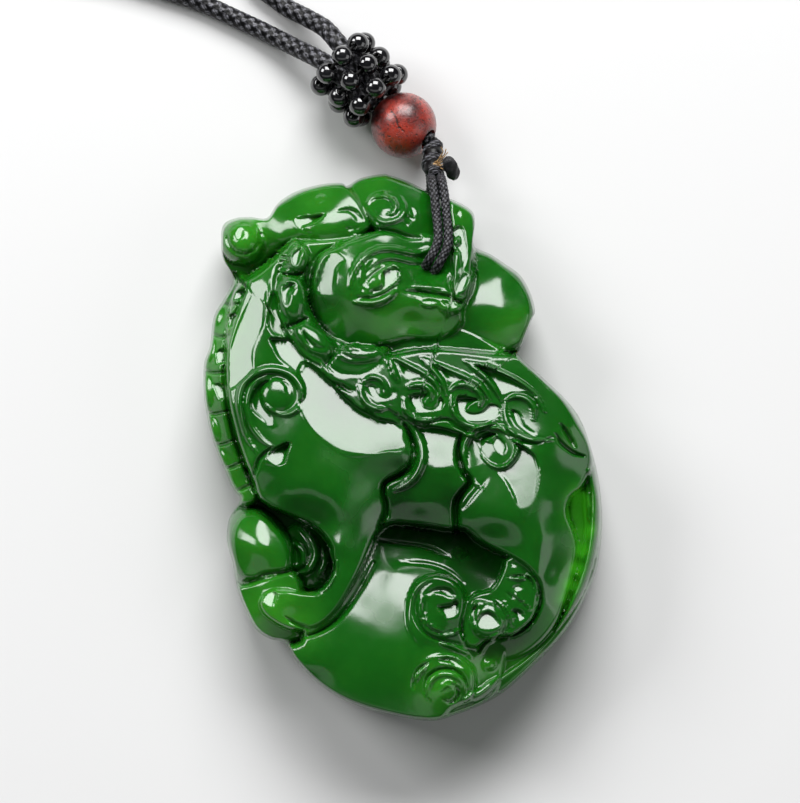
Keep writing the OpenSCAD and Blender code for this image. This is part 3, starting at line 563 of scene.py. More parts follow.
# Cut lines: path, half width, depth in mm, and how much is left of it at its ends.
GROOVES = {
    "mane_gap_1": ([(284, 274), (294, 275), (304, 272)], 2.6, 0.8, (0.8, 0.8)),
    "mane_gap_2": ([(283, 328), (294, 324), (306, 318)], 2.6, 0.8, (0.8, 0.8)),
    "mane_gap_3": ([(325, 366), (332, 356), (338, 347)], 2.6, 0.8, (0.8, 0.8)),
    "mane_outer": ([(288, 248), (280, 266), (275, 290), (277, 316), (288, 338), (303, 356), (320, 366)], 3,
                    0.8, (0.4, 0.5)),
    "fold_left": ([(404, 424), (411, 438), (414, 453), (409, 468), (398, 476), (386, 482), (383, 492),
                   (386, 510), (380, 528)], 4, 1.6, (0.5, 0.9)),
    "fold_right": ([(461, 434), (458, 452), (463, 470), (470, 482), (462, 493), (456, 505), (456, 530)], 5,
                    2.0, (0.3, 0.9)),
    "face_left": ([(345, 245), (330, 248), (319, 255), (313, 266), (310, 284), (309, 300), (314, 315),
                   (324, 330), (338, 343), (354, 350), (372, 350), (388, 344)], 4, 0.6, (0.5, 0.5)),
    "cap_edge": ([(370, 229), (385, 230), (397, 233), (407, 237), (421, 238)], 4, 0.6, (0.4, 0.6)),
    "brow_2": ([(360, 288), (365, 276), (374, 267), (387, 261), (399, 262), (412, 265), (430, 264)], 3, 0.5,
                (0.3, 0.4)),
    "eye_low": ([(357, 297), (370, 298), (383, 294), (393, 287), (400, 279)], 2.6, 0.5, (0.4, 0.4)),
    "eye_high": ([(362, 292), (368, 279), (378, 270), (390, 266), (399, 270)], 2.6, 0.5, (0.3, 0.4)),
    "mouth": ([(402, 291), (420, 292), (436, 294), (450, 297), (461, 303)], 3.2, 0.8, (0.2, 0.8)),
    "snout_side": ([(472, 262), (476, 275), (474, 290), (467, 303)], 3, 0.6, (0.4, 0.4)),
    "nostril_back": ([(452, 274), (449, 284), (452, 295)], 3, 0.5, (0.3, 0.3)),
    "snout_1": ([(448, 238), (461, 236)], 3, 0.6, (1, 0.2)),
    "snout_2": ([(448, 251), (460, 252)], 3, 0.6, (1, 0.2)),
    "neck_edge": ([(292, 241), (276, 257), (254, 275), (234, 281)], 4, 0.9, (0.4, 1)),
    "collar": ([(310, 368), (326, 380), (345, 388), (358, 392)], 3, 0.6, (0.6, 0.2)),
    "back_border": ([(402, 414), (420, 423), (446, 419), (458, 427), (474, 432), (498, 425), (514, 438),
                     (536, 443), (552, 437)], 2.6, 0.45, (0.5, 0.5)),
    "spine": ([(250, 280), (240, 303), (231, 328), (226, 355), (227, 395), (233, 430), (243, 462),
               (254, 492)], 3.4, 0.5, (0.6, 0.6)),
    "notch_1": ([(219, 303), (228, 305), (238, 304)], 3, 0.45, (1, 0.6)),
    "notch_2": ([(209, 333), (219, 337), (230, 336)], 3, 0.45, (1, 0.6)),
    "notch_3": ([(201, 368), (212, 373), (226, 372)], 3, 0.45, (1, 0.6)),
    "notch_4": ([(202, 411), (214, 414), (228, 411)], 3, 0.45, (1, 0.6)),
    "notch_5": ([(210, 442), (221, 445), (234, 440)], 3, 0.45, (1, 0.6)),
    "notch_6": ([(219, 467), (230, 468), (242, 462)], 3, 0.45, (1, 0.6)),
    "notch_7": ([(230, 492), (240, 490), (252, 484)], 3, 0.45, (1, 0.6)),
    "foreleg_back": ([(272, 447), (259, 460), (254, 478)], 3, 0.6, (0.5, 0.5)),
    "ball_line_1": ([(378, 540), (396, 543), (420, 546), (440, 553), (452, 560)], 3, 0.6, (0.8, 0.2)),
    "ball_line_2": ([(400, 562), (428, 564), (448, 571), (464, 584)], 2.6, 0.3, (0.3, 0.5)),
    "ball_edge": ([(374, 562), (361, 586), (348, 606), (334, 622), (318, 632), (306, 636)], 3.5, 0.9,
                   (0.6, 0.6)),
    "toe_1": ([(474, 628), (474, 612), (478, 602)], 2.6, 0.5, (0.3, 0.3)),
    "toe_2": ([(493, 600), (503, 612), (509, 628)], 2.4, 0.6, (0.2, 0.4)),
    "toe_3": ([(502, 600), (510, 610), (515, 626)], 2.2, 0.5, (0.2, 0.4)),
    "toe_4": ([(506, 591), (519, 600), (531, 611)], 2.4, 0.6, (0.2, 0.3)),
    "toe_5": ([(507, 577), (528, 577), (535, 588)], 2.4, 0.6, (0.2, 0.4)),
    "foot_line": ([(537, 592), (536, 610), (529, 624), (516, 634), (500, 636), (486, 642), (478, 652)], 2.6,
                   0.6, (0.3, 0.6)),
    "upper_cloud_out": ([(455, 632), (441, 633), (429, 627), (423, 614), (424, 600)], 3, 0.7, (0.4, 0.4)),
    "upper_cloud_rim": ([(461, 645), (443, 641), (427, 634), (417, 620), (415, 603), (420, 590),
                         (432, 581)], 2.6, 0.5, (0.4, 0.4)),
    "lower_cloud_out": ([(428, 700), (425, 688), (429, 676), (440, 669), (455, 670), (465, 680),
                         (468, 693)], 3, 0.6, (0.3, 0.3)),
    "lower_cloud_in": ([(441, 689), (447, 683), (456, 686), (458, 695), (451, 702), (443, 699)], 2.6, 0.5,
                        (0.3, 0.3)),
    "lower_cloud_rim": ([(412, 690), (417, 672), (429, 661)], 2.6, 0.5, (0.3, 0.3)),
    "tail_leaf": ([(556, 434), (562, 444), (574, 453), (584, 456)], 3, 0.7, (0.5, 0.5)),
    "tail_leaf_in": ([(561, 424), (568, 436), (575, 448)], 4, 0.7, (0.4, 0.3)),
    "paw_1": ([(250, 581), (262, 575), (278, 572), (293, 571), (302, 580), (306, 592)], 3, 0.6, (0.4, 0.6)),
    "paw_3": ([(286, 617), (298, 625), (309, 628)], 2.6, 0.6, (0.4, 0.4)),
}
for path, width, depth, ends in GROOVES.values():
    relief.cut(bend(path), width, -depth, ends)

# Raised lines: path, half width, height in mm, and how much is left of it at its ends.
RIDGES = {
    "mane_inner": ([(306, 304), (311, 312), (316, 321), (327, 334), (341, 343), (356, 350), (378, 351)],
                    2.4, 0.5, (0.4, 0.4)),
    "shoulder_rim": ([(256, 452), (247, 438), (241, 420), (239, 400), (243, 384), (254, 374), (270, 369),
                      (288, 373), (299, 384), (303, 397), (298, 408), (288, 414), (276, 413), (266, 405)],
                      3.6, 0.6, (0.3, 0.4)),
    "shoulder_rim_2": ([(274, 448), (262, 440), (251, 426), (247, 408), (249, 392), (256, 381), (268, 375)],
                        3, 0.4, (0.3, 0.3)),
    "hip_rim": ([(483, 490), (470, 478), (464, 462), (465, 444), (474, 431), (490, 426), (506, 430),
                 (517, 441), (517, 456), (508, 466), (496, 467), (486, 461), (480, 452)], 3.4, 0.6,
                 (0.2, 0.3)),
    "flame_ring_1": ([(360, 384), (361, 395), (367, 404), (378, 409), (389, 407)], 2.6, 0.5, (0.3, 0.3)),
    "flame_ring_2": ([(404, 398), (405, 408), (412, 417), (424, 421), (438, 419)], 2.6, 0.5, (0.3, 0.3)),
    "flame_ring_3": ([(451, 396), (452, 408), (458, 418), (468, 425), (482, 426), (496, 420)], 2.8, 0.5,
                      (0.3, 0.3)),
    "flame_ring_4": ([(505, 402), (505, 415), (510, 427), (522, 436), (536, 440), (552, 440)], 2.8, 0.5,
                      (0.3, 0.3)),
    "flame_arc_1": ([(362, 384), (370, 377), (380, 379), (385, 386), (386, 393)], 2.4, 0.45, (0.4, 0.5)),
    "flame_arc_2": ([(407, 388), (415, 385), (425, 386), (431, 392), (431, 400)], 2.6, 0.5, (0.4, 0.5)),
    "flame_arc_3": ([(450, 391), (457, 385), (468, 385), (478, 391), (482, 399), (480, 406)], 2.8, 0.5,
                     (0.4, 0.5)),
    "flame_arc_4": ([(507, 400), (516, 396), (527, 399), (534, 408), (534, 420)], 2.8, 0.5, (0.4, 0.5)),
    "flame_tail_2": ([(389, 354), (403, 362), (420, 371), (433, 380), (439, 389), (439, 398)], 2.6, 0.5,
                      (0.3, 0.4)),
    "flame_tail_3": ([(421, 357), (440, 366), (462, 375), (479, 384), (488, 396), (490, 404)], 2.8, 0.5,
                      (0.3, 0.4)),
    "flame_tail_4": ([(464, 361), (490, 368), (515, 379), (534, 394), (545, 412)], 3, 0.55, (0.3, 0.4)),
    "flame_side_2": ([(389, 355), (391, 364), (398, 382)], 2.4, 0.45, (0.3, 0.4)),
    "flame_side_3": ([(421, 358), (432, 369), (442, 382), (446, 395)], 2.6, 0.5, (0.3, 0.4)),
    "flame_side_4": ([(465, 362), (481, 373), (493, 386), (502, 401)], 2.6, 0.5, (0.3, 0.4)),
    "cap_arc": ([(367, 204), (373, 197), (383, 195), (392, 199), (396, 207), (393, 213), (388, 214)], 2.4,
                 0.5, (0.4, 0.5)),
    "cap_out": ([(373, 209), (375, 216), (383, 222), (393, 221), (402, 216), (405, 207), (401, 197)], 2.4,
                 0.4, (0.3, 0.3)),
    "cloud_out": ([(462, 628), (450, 634), (436, 631), (425, 621), (421, 607), (424, 596)], 2.6, 0.5,
                   (0.3, 0.4)),
    "cloud_tail": ([(440, 643), (452, 646), (466, 653)], 2.6, 0.4, (0.4, 0.4)),
    "cloud_2_out": ([(414, 683), (419, 673), (428, 665)], 2.4, 0.4, (0.3, 0.3)),
    "cloud_2_ring": ([(430, 700), (427, 690), (431, 680), (441, 674), (453, 675), (462, 682), (463, 692)],
                      3, 0.35, (0.3, 0.3)),
    "cloud_2_core": ([(441, 690), (446, 684), (454, 684), (460, 690)], 2.6, 0.4, (0.3, 0.3)),
    "toe_line_1": ([(495, 600), (503, 611), (508, 627)], 2.2, 0.45, (0.3, 0.4)),
    "toe_line_2": ([(502, 600), (510, 611), (514, 626)], 2.2, 0.45, (0.3, 0.4)),
    "toe_line_3": ([(509, 592), (520, 600), (531, 611)], 2.2, 0.45, (0.3, 0.4)),
    "toe_line_4": ([(507, 578), (520, 578), (529, 576), (535, 584), (537, 594)], 2.2, 0.45, (0.3, 0.4)),
    "foot_edge": ([(538, 604), (530, 624), (516, 634), (498, 636), (488, 642), (481, 653)], 2.8, 0.5,
                   (0.3, 0.4)),
    "brow_out": ([(350, 288), (353, 273), (361, 260), (373, 251), (387, 248), (402, 250), (416, 253),
                  (431, 249)], 3.4, 0.5, (0.3, 0.5)),
    "under_eye": ([(355, 302), (368, 303), (381, 301), (391, 295), (399, 287)], 3, 0.6, (0.6, 0.3)),
    "lip_line": ([(412, 286), (428, 286), (444, 288)], 2.6, 0.35, (0.3, 0.3)),
    "belly_fold": ([(404, 418), (415, 430), (422, 447), (421, 465), (411, 481), (394, 491)], 4.2, 0.7,
                    (0.4, 0.3)),
    "tail_rim": ([(590, 470), (595, 500), (594, 535), (587, 570), (573, 603), (556, 630)], 5, 1.4,
                  (0.5, 0.3)),
    "hollow_rim": ([(334, 549), (335, 566), (329, 582), (318, 591), (304, 592)], 3, 0.8, (0.3, 0.3)),
    "hollow_1": ([(300, 528), (312, 540), (316, 556), (308, 570), (296, 574)], 4.5, 0.9, (0.4, 0.4)),
    "hollow_2": ([(292, 540), (302, 550), (303, 562), (296, 568)], 4, 0.8, (0.4, 0.4)),
    "hollow_3": ([(322, 548), (325, 562), (318, 577)], 3.5, 0.7, (0.4, 0.4)),
    "tail_strand": ([(466, 700), (482, 692), (497, 679)], 5, 1.0, (0.5, 0.5)),
}
for path, width, height, ends in RIDGES.values():
    relief.cut(bend(path), width, height, ends, round_top=True)

# The slit between the haunch and the tail, how high its floor is and how wide its sides slope.
TAIL_SLIT = [
    (583, 490), (573, 500), (571, 515), (577, 535), (578, 552), (572, 577), (562, 603),
    (567, 603), (579, 578), (586, 555), (590, 530), (591, 505), (588, 492),
]
SLIT_FLOOR = 10.8
SLIT_SIDE = 5
relief.sink(TAIL_SLIT, SLIT_FLOOR, SLIT_SIDE)

# Tilted planes inside small outlines, where the polish catches the light.
POOLS = {
    "ear_point": [(285, 219), (300, 217), (323, 214), (317, 221), (308, 226), (303, 227), (306, 231),
                  (311, 233), (305, 235), (296, 229)],
    "ear_top": [(338, 211), (346, 208), (354, 209), (361, 216), (366, 223), (360, 223), (354, 217),
                (347, 212)],
    "ear_low": [(345, 228), (352, 227), (358, 226), (361, 225), (357, 230), (351, 232)],
    "crown": [(315, 199), (319, 195), (326, 196), (326, 201), (319, 205)],
    "horn_left": [(227, 231), (231, 225), (238, 223), (243, 225), (244, 231), (243, 237), (238, 240),
                  (232, 237)],
    "horn_right": [(249, 223), (254, 226), (258, 227), (258, 234), (253, 235), (250, 230)],
    "horn_rim": [(224, 236), (226, 245), (231, 252), (239, 257), (248, 257), (257, 252), (263, 244),
                 (264, 235), (259, 232), (259, 241), (254, 248), (246, 252), (238, 251), (231, 245),
                 (228, 237)],
    "cap_arc_top": [(366, 203), (370, 197), (378, 192), (388, 191), (396, 196), (390, 197), (382, 195),
                    (374, 198)],
    "cap_in": [(377, 211), (380, 206), (386, 206), (391, 209), (387, 211), (385, 214), (389, 216),
               (395, 215), (400, 211), (405, 209), (402, 215), (396, 219), (388, 220), (380, 217)],
    "cap_leaf_1": [(413, 204), (418, 213), (416, 215), (411, 213)],
    "cap_leaf_2": [(406, 217), (412, 216), (418, 220), (411, 221)],
    "cap_leaf_3": [(403, 223), (410, 222), (414, 225), (408, 227)],
    "brow": [(359, 266), (359, 254), (365, 247), (373, 243), (382, 245), (388, 248), (378, 251),
             (369, 257)],
    "brow_band": [(363, 283), (364, 272), (370, 262), (380, 256), (392, 255), (402, 258), (391, 261),
                  (379, 265), (371, 272), (367, 280)],
    "brow_end": [(419, 258), (427, 256), (432, 252), (434, 259), (427, 262)],
    "eye": [(371, 296), (372, 289), (379, 288), (382, 283), (382, 274), (387, 269), (395, 267), (400, 271),
            (399, 278), (393, 285), (387, 292), (379, 296)],
    "snout": [(452, 234), (454, 228), (460, 226), (464, 230), (466, 240), (468, 250), (470, 262),
              (466, 268), (461, 266), (460, 254), (457, 250), (454, 246), (459, 243), (459, 237)],
    "snout_spot": [(455, 213), (460, 210), (466, 217), (458, 217)],
    "nostril": [(454, 290), (456, 281), (461, 275), (467, 273), (469, 278), (466, 287), (460, 295),
                (456, 295)],
    "lip_1": [(421, 301), (430, 299), (441, 302), (434, 306), (427, 305)],
    "lip_2": [(441, 302), (450, 301), (460, 306), (454, 309), (449, 312), (446, 306)],
    "mane_1": [(291, 264), (292, 255), (297, 249), (303, 247), (301, 254), (299, 263), (295, 269)],
    "mane_2": [(283, 302), (282, 292), (286, 285), (292, 282), (294, 287), (290, 295), (288, 306),
               (285, 311)],
    "mane_3": [(303, 330), (308, 337), (315, 344), (323, 347), (329, 348), (322, 353), (312, 349),
               (305, 340)],
    "mane_4": [(342, 353), (350, 355), (360, 357), (369, 358), (360, 362), (350, 361)],
    "collar": [(321, 361), (328, 362), (338, 370), (352, 373), (366, 371), (381, 361), (378, 369),
               (366, 378), (352, 379), (337, 375)],
    "shoulder_in": [(281, 381), (286, 382), (291, 388), (290, 398), (287, 394), (285, 386)],
    "chest_left": [(264, 463), (268, 454), (276, 447), (289, 442), (287, 453), (284, 463), (275, 466)],
    "flame_1": [(366, 386), (372, 384), (378, 388), (380, 394), (385, 397), (390, 395), (393, 389),
                (397, 393), (395, 399), (387, 402), (378, 401), (370, 395)],
    "flame_2": [(409, 399), (413, 394), (427, 394), (424, 402), (426, 407), (432, 408), (437, 404),
                (440, 397), (444, 402), (442, 409), (436, 413), (427, 414), (417, 411), (411, 405)],
    "flame_3": [(456, 399), (462, 396), (478, 399), (470, 404), (467, 410), (473, 413), (482, 411),
                (490, 404), (499, 406), (500, 413), (492, 419), (480, 423), (467, 421), (458, 413)],
    "flame_4": [(511, 410), (517, 411), (521, 417), (524, 424), (531, 430), (542, 436), (532, 436),
                (523, 431), (515, 423)],
    "tail_4": [(476, 365), (494, 370), (512, 378), (527, 388), (538, 398), (525, 395), (512, 392),
               (503, 395), (494, 384), (485, 374)],
    "tail_2": [(401, 363), (412, 369), (424, 375), (414, 378), (407, 380), (403, 372)],
    "tail_3": [(434, 363), (447, 370), (461, 378), (455, 382), (448, 379), (441, 369)],
    "hip_out": [(477, 452), (475, 442), (480, 436), (488, 432), (496, 434), (489, 438), (484, 442),
                (482, 450), (484, 459), (491, 466), (484, 462), (479, 457)],
    "hip_in": [(493, 441), (497, 436), (503, 441), (506, 449), (502, 456), (496, 453), (493, 446)],
    "cloud_top": [(421, 598), (430, 590), (441, 587), (450, 589), (456, 596), (450, 598), (441, 594),
                  (432, 595), (425, 601)],
    "cloud_low": [(438, 606), (446, 604), (452, 603), (457, 600), (459, 610), (455, 618), (449, 621),
                  (443, 614)],
    "paw": [(261, 596), (268, 590), (277, 593), (275, 603), (270, 610), (264, 603)],
    "top_toe": [(509, 562), (516, 563), (519, 568), (513, 567)],
    "cloud_2": [(438, 660), (450, 657), (459, 661), (467, 670), (459, 669), (449, 663)],
    "mid_toe": [(477, 621), (481, 614), (487, 611), (494, 614), (499, 620), (502, 628), (492, 630),
                (479, 631)],
    "knuckle": [(475, 604), (481, 601), (482, 606)],
    "side_toe": [(512, 610), (519, 610), (526, 617), (520, 623), (516, 617)],
    "high_toe": [(512, 588), (519, 584), (525, 590), (519, 591)],
}
for outline in POOLS.values():
    relief.pool(outline)

# Larger ones: outline, the way the plane falls in degrees from the picture's right, and its slope.
PLANES = {
    "chest": ([(303, 361), (318, 369), (330, 380), (344, 395), (360, 408), (380, 418), (396, 422),
               (405, 432), (408, 444), (400, 450), (384, 452), (362, 457), (344, 456), (330, 447),
               (316, 435), (305, 420), (297, 406), (303, 396), (303, 384), (297, 371)], 64, 0.27),
    "shoulder": ([(271, 380), (262, 382), (254, 391), (250, 402), (253, 411), (261, 419), (270, 427),
                  (276, 425), (270, 415), (264, 405), (262, 395), (264, 387)], 163, 0.43),
    "haunch": ([(514, 442), (532, 452), (538, 463), (539, 478), (535, 498), (527, 519), (520, 513),
                (513, 495), (505, 480), (497, 471), (508, 466), (516, 456), (518, 448)], 80, 0.2),
    "cheek": ([(316, 284), (320, 269), (326, 257), (334, 251), (341, 251), (346, 258), (338, 268),
               (335, 282), (334, 294), (331, 304), (324, 300), (318, 292)], 163, 0.43),
    "neck": ([(288, 247), (272, 262), (257, 284), (246, 306), (236, 330), (230, 348), (226, 358),
              (226, 380), (229, 390), (240, 384), (253, 370), (253, 352), (260, 334), (264, 322),
              (265, 305), (267, 290), (272, 277), (281, 262)], 163, 0.43),
    "neck_right": ([(272, 292), (269, 302), (268, 316), (269, 328), (276, 336), (291, 338), (287, 330),
                    (281, 319), (278, 308), (277, 297)], 163, 0.43),
    "neck_low": ([(270, 338), (273, 346), (279, 358), (288, 366), (298, 373), (304, 370), (306, 361),
                  (300, 352), (293, 341), (284, 338)], 90, 0.31),
    "scute_1": ([(230, 300), (236, 291), (245, 291), (240, 300)], 90, 0.31),
    "scute_2": ([(225, 329), (229, 315), (235, 315), (232, 327)], 90, 0.31),
    "scute_3": ([(212, 363), (218, 350), (224, 351), (224, 363)], 90, 0.31),
    "scute_4": ([(210, 386), (221, 384), (225, 398), (214, 399)], 90, 0.31),
}
for row in PLANES.values():
    relief.pool(*row)

heights = relief.z.reshape(grid_x.shape)
inset = (1 - grid_share) * outline_radius(np.arctan2(JADE_MIDDLE_PX[1] - grid_y, grid_x - JADE_MIDDLE_PX[0]))
heights = RIM_HEIGHT + (heights - RIM_HEIGHT) * quarter(inset * MM_PER_PX / RIM_ROUND)
front = spot(grid_x, grid_y, heights)

# The back: rings that curve in from the edge to the flat, each (share of the way out, height in mm).
BACK = [(0.985, 2.5), (0.95, 1.95), (0.88, 1.5), (0.78, 1.1), (0.66, 0.55), (0.55, 0.0)]


def jade_shell(front, back):
    """A closed shell: the front grid, rings of the grid's border drawn in by each share, and a flat cap."""
    down, across = front.shape[:2]
    number = np.arange(down * across).reshape(down, across)
    border = np.concatenate([number[0, :-1], number[:-1, -1], number[-1, :0:-1], number[:0:-1, 0]])
    points = front.reshape(-1, 3)
    rim = points[border]
    rings = [border]
    for share, height in back:
        ring = np.column_stack([rim[:, :2] * share, np.full(len(rim), height)])
        rings.append(len(points) + np.arange(len(rim)))
        points = np.vstack([points, ring])
    middle = len(points)
    points = np.vstack([points, [[0, 0, 0]]])
    quads = np.stack([number[:-1, :-1], number[1:, :-1], number[1:, 1:], number[:-1, 1:]], -1).reshape(-1, 4)
    walls = [np.stack([np.roll(a, -1), np.roll(b, -1), b, a], 1) for a, b in zip(rings, rings[1:])]
    cap = [(middle, int(b), int(a)) for a, b in zip(rings[-1], np.roll(rings[-1], -1))]
    return points, np.vstack([quads, *walls]).tolist() + cap


def paint(thing, name, values):
    """Stores a number at each point of the mesh, for its material to read."""
    values = np.asarray(values, float).ravel()
    layer = thing.data.attributes.new(name, "FLOAT", "POINT")
    layer.data.foreach_set("value", np.pad(values, (0, len(thing.data.vertices) - len(values)), mode="edge"))


# Painted light in the stone's colour, each row a place in the picture, reach and strength: it brightens the
# colour where light comes through thin stone, and paints reflections along the lower face and on the ball
# behind the chin.
BRIGHT = [
    (243, 245, 34, 0.6), (258, 226, 16, 0.3), (222, 320, 20, 0.55), (210, 352, 18, 0.55),
    (207, 390, 20, 0.55), (212, 430, 18, 0.55), (226, 465, 18, 0.5), (240, 492, 14, 0.6),
    (256, 545, 32, 0.3), (262, 615, 34, 0.42),
    (300, 626, 24, 0.35), (280, 600, 26, 0.2), (440, 692, 26, 0.6), (470, 665, 20, 0.2), (487, 664, 18, 0.4),
    (580, 498, 12, 1.0), (579, 515, 12, 1.0), (583, 532, 10, 1.0), (582, 550, 10, 1.0), (576, 568, 10, 1.0),
    (570, 585, 10, 0.9), (564, 600, 9, 0.7), (597, 530, 10, 0.4), (565, 632, 22, 0.35), (515, 655, 22, 0.4),
    (372, 183, 24, 0.25), (322, 190, 24, 0.2), (300, 225, 30, 0.2), (330, 240, 30, 0.2), (463, 210, 16, 0.3),
    (520, 325, 18, 0.55), (500, 336, 16, 0.4), (350, 318, 20, 0.4), (380, 326, 18, 0.5), (408, 321, 20, 0.6),
    (438, 318, 16, 0.5), (570, 440, 16, 0.2), (322, 352, 20, 0.15), (380, 280, 16, 0.2), (420, 400, 30, 0.1),
]
# And where it is deep and the light hardly reaches.
DEEP = [
    (420, 535, 22, 0.5), (460, 545, 24, 0.55), (490, 562, 20, 0.5), (480, 590, 18, 0.2), (388, 533, 16, 0.4),
    (305, 540, 22, 0.35), (318, 565, 18, 0.3), (424, 350, 15, 0.5), (470, 352, 15, 0.4), (395, 395, 20, 0.3),
    (340, 395, 26, 0.5), (425, 490, 36, 0.35), (395, 500, 16, 0.6), (456, 500, 14, 0.6), (345, 345, 30, 0.3),
    (400, 570, 40, 0.25), (455, 570, 30, 0.4),
]
# And where the polish is softer.
SOFT = [
    (398, 455, 14, 0.7), (380, 464, 15, 1.0), (366, 478, 13, 1.0), (358, 494, 12, 1.0), (350, 510, 9, 0.9),
    (346, 528, 8, 0.9), (350, 544, 8, 0.7), (345, 462, 12, 0.7), (325, 452, 12, 0.5), (532, 505, 14, 0.7),
    (538, 480, 12, 0.5), (572, 500, 10, 0.7), (568, 540, 12, 0.7), (385, 612, 16, 0.7), (365, 600, 10, 0.6),
    (318, 270, 12, 0.7), (332, 300, 12, 0.7), (440, 452, 10, 0.5),
]


def patches(rows):
    """The sum of round patches that fade out as a bell curve."""
    return sum(
        strength * np.exp(-((grid_x - x) ** 2 + (grid_y - y) ** 2) / reach ** 2)
        for x, y, reach, strength in rows)


# Painted light and shade for the jade's colour: the painted bright patches less the painted dark ones.
glow = patches(BRIGHT) - patches(DEEP)
soft = np.minimum(patches(SOFT), 1)

# Its emission is a painted glow, standing in for light that comes through thin stone.
jade_look = Shader(
    "jade_green", IOR=1.62, subsurface_weight=0.3, subsurface_scale=0.0015, emission_strength=1.0)
jade_place = jade_look.place()
jade_cloud = jade_look.noise(jade_place, 0.1, 4.0)
jade_fleck = jade_look.noise(jade_place, 0.7, 5.0, 0.6)
# The base colour runs from painted shade to painted light, with the stone's own cloudy tone and flecks on
# top.
jade_tone_with_painted_light_and_shade = jade_look.attribute("glow") + jade_cloud * 0.5 - 0.25 + jade_fleck * 0.2 - 0.1
jade_look.feed("Base Color", jade_look.colours(
    jade_tone_with_painted_light_and_shade * 0.4 + 0.45, (0.0, (0.001, 0.018, 0.001)), (0.2, (0.002, 0.040, 0.002)),
    (0.45, (0.005, 0.092, 0.004)), (0.75, (0.028, 0.22, 0.010)), (1.0, (0.07, 0.40, 0.012)),
))
jade_look.feed("Roughness", 0.13 + jade_fleck.over(0.4, 0.9) * 0.07 + jade_look.attribute("soft") * 0.28)
# Painted glow: the places with the most painted light shine by emission.
jade_look.feed("Emission Color", jade_look.blend(
    jade_tone_with_painted_light_and_shade.over(0.55, 1.05), (0.0, 0.0, 0.0), (0.012, 0.10, 0.003)))
jade_look.bump(jade_look.noise(jade_place, 0.55, 3.0), 0.25, 0.00006)
jade = surface("jade_carving", *jade_shell(front, BACK), jade_look.material)
# The painted light and shade at the edge fade out round the back.
border = np.concatenate([glow[0, :-1], glow[:-1, -1], glow[-1, :0:-1], glow[:0:-1, 0]])
back_painted_light_and_shade = [border * (1 - level / len(BACK)) + 0.1 * level / len(BACK) for level in range(len(BACK))]
paint(jade, "glow", np.concatenate([glow.ravel(), *back_painted_light_and_shade]))
paint(jade, "soft", np.concatenate([soft.ravel(), np.zeros(len(border) * len(BACK))]))

# The cord hole: a straight drill from front to back, wider at both faces. The cut is refused, because the
# faces of the carving don't all face the same way, so the carving has no hole yet.
HOLE = (2.457, 17.464)
HOLE_R = 1.3
# The drill's outline: height, and how much wider than the hole it is there.
FLARE = [(-1.0, 1.2), (1.2, 0.35), (2.4, 0.0), (10.4, 0.0), (11.6, 0.35), (16.0, 1.9)]
DRILL_SIDES = 48


def drill_mesh():
    """Circles of points stacked up the outline, walled from each to the next and shut at both ends."""
    angle = np.linspace(0, 2 * np.pi, DRILL_SIDES, endpoint=False)
    points = [
        (HOLE[0] + (HOLE_R + wider) * math.cos(a), HOLE[1] + (HOLE_R + wider) * math.sin(a), z)
        for z, wider in FLARE for a in angle]
    number = np.arange(len(points)).reshape(len(FLARE), DRILL_SIDES)
    beside = np.roll(number, -1, 1)
    walls = np.stack([number[:-1], beside[:-1], beside[1:], number[1:]], -1).reshape(-1, 4).tolist()
    return points, walls + [number[0, ::-1].tolist(), number[-1].tolist()]


drill = surface("drill", *drill_mesh(), jade_look.material)
bore = jade.modifiers.new("cord_hole", "BOOLEAN")
bore.operation, bore.solver, bore.object = "DIFFERENCE", "MANIFOLD", drill
whole = jade.data
jade.data = bpy.data.meshes.new_from_object(jade.evaluated_get(bpy.context.evaluated_depsgraph_get()))
jade.modifiers.clear()
for spare, store in ((drill, bpy.data.objects), (whole, bpy.data.meshes)):
    store.remove(spare)
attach(jade, "root")
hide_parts("jade_pendant")

# The hanging cord: one thin black cord of waxed polyester, doubled. Both its strands come out of the knot,
# lie over the forehead, go down through the hole and come up again behind the jade. It is plaited from
# twelve yarns, six wound each way.
STRAND_D = 1.0
STRAND_GAP = 0.06
YARN_PITCH = 0.62
YARN_STEP = 0.07
CORD_BLACK = (0.0012, 0.0012, 0.0015)
# How fast the fine filaments pass across a yarn, three to its width.
FILAMENTS = 18.85
# The dip in the jade's edge that the strands lie in, and how far below it the hole is.
DIP = (3.36, 27.14)
TO_HOLE = 9.676
# Each row: mm to the right of the dip; mm above it, or below it as a share of the way down to the hole;
# height of the cord's underside; and how far the pair is turned.
STRAND_ROUTE = [
    (0, 1.2, 6.65, 0), (0, 1.02, 6.85, 0), (0.02, 0.75, 7.4, 0), (0.06, 0.42, 8.4, 0), (0.12, -0.012, 9.4, 0),
    (0.25, -0.11, 10.15, 0), (0.4, -0.24, 10.65, 0), (0.55, -0.41, 11, 0), (0.68, -0.57, 11.5, -4),
    (0.66, -0.71, 11.8, -14), (0.24, -0.84, 11.95, -26), (-0.32, -0.94, 11.7, -30), (-0.76, -0.99, 10.3, -30),
    (-0.9, -1, 8.5, -30), (-0.9, -1, 5.5, -25), (-0.9, -1, 3, -15), (-0.88, -0.98, 1.4, -8),
    (-0.84, -0.88, 0.4, -4), (-0.75, -0.73, 0.06, 0), (-0.5, -0.48, 0.06, 0), (-0.25, -0.24, 0.1, 0),
    (-0.1, -0.05, 0.5, 0), (0, 0.6, 1.3, 0), (0, 1.35, 2.7, 0), (-0.05, 1.85, 3.9, 0), (-0.1, 2.05, 4.6, 0),
]


def evenly(path, step):
    """The path again with its points a step apart, and how far along it each one is."""
    run = np.concatenate([[0], np.cumsum(np.linalg.norm(np.diff(path[:, :3], axis=0), axis=1))])
    along = np.linspace(0, run[-1], int(round(run[-1] / step)) + 1)
    return np.column_stack([np.interp(along, run, column) for column in path.T]), along


def round_about(count, sides):
    """The angles of so many sides round a ring, the same for each of count rings."""
    return np.broadcast_to(np.linspace(0, 2 * np.pi, sides, endpoint=False), (count, sides))


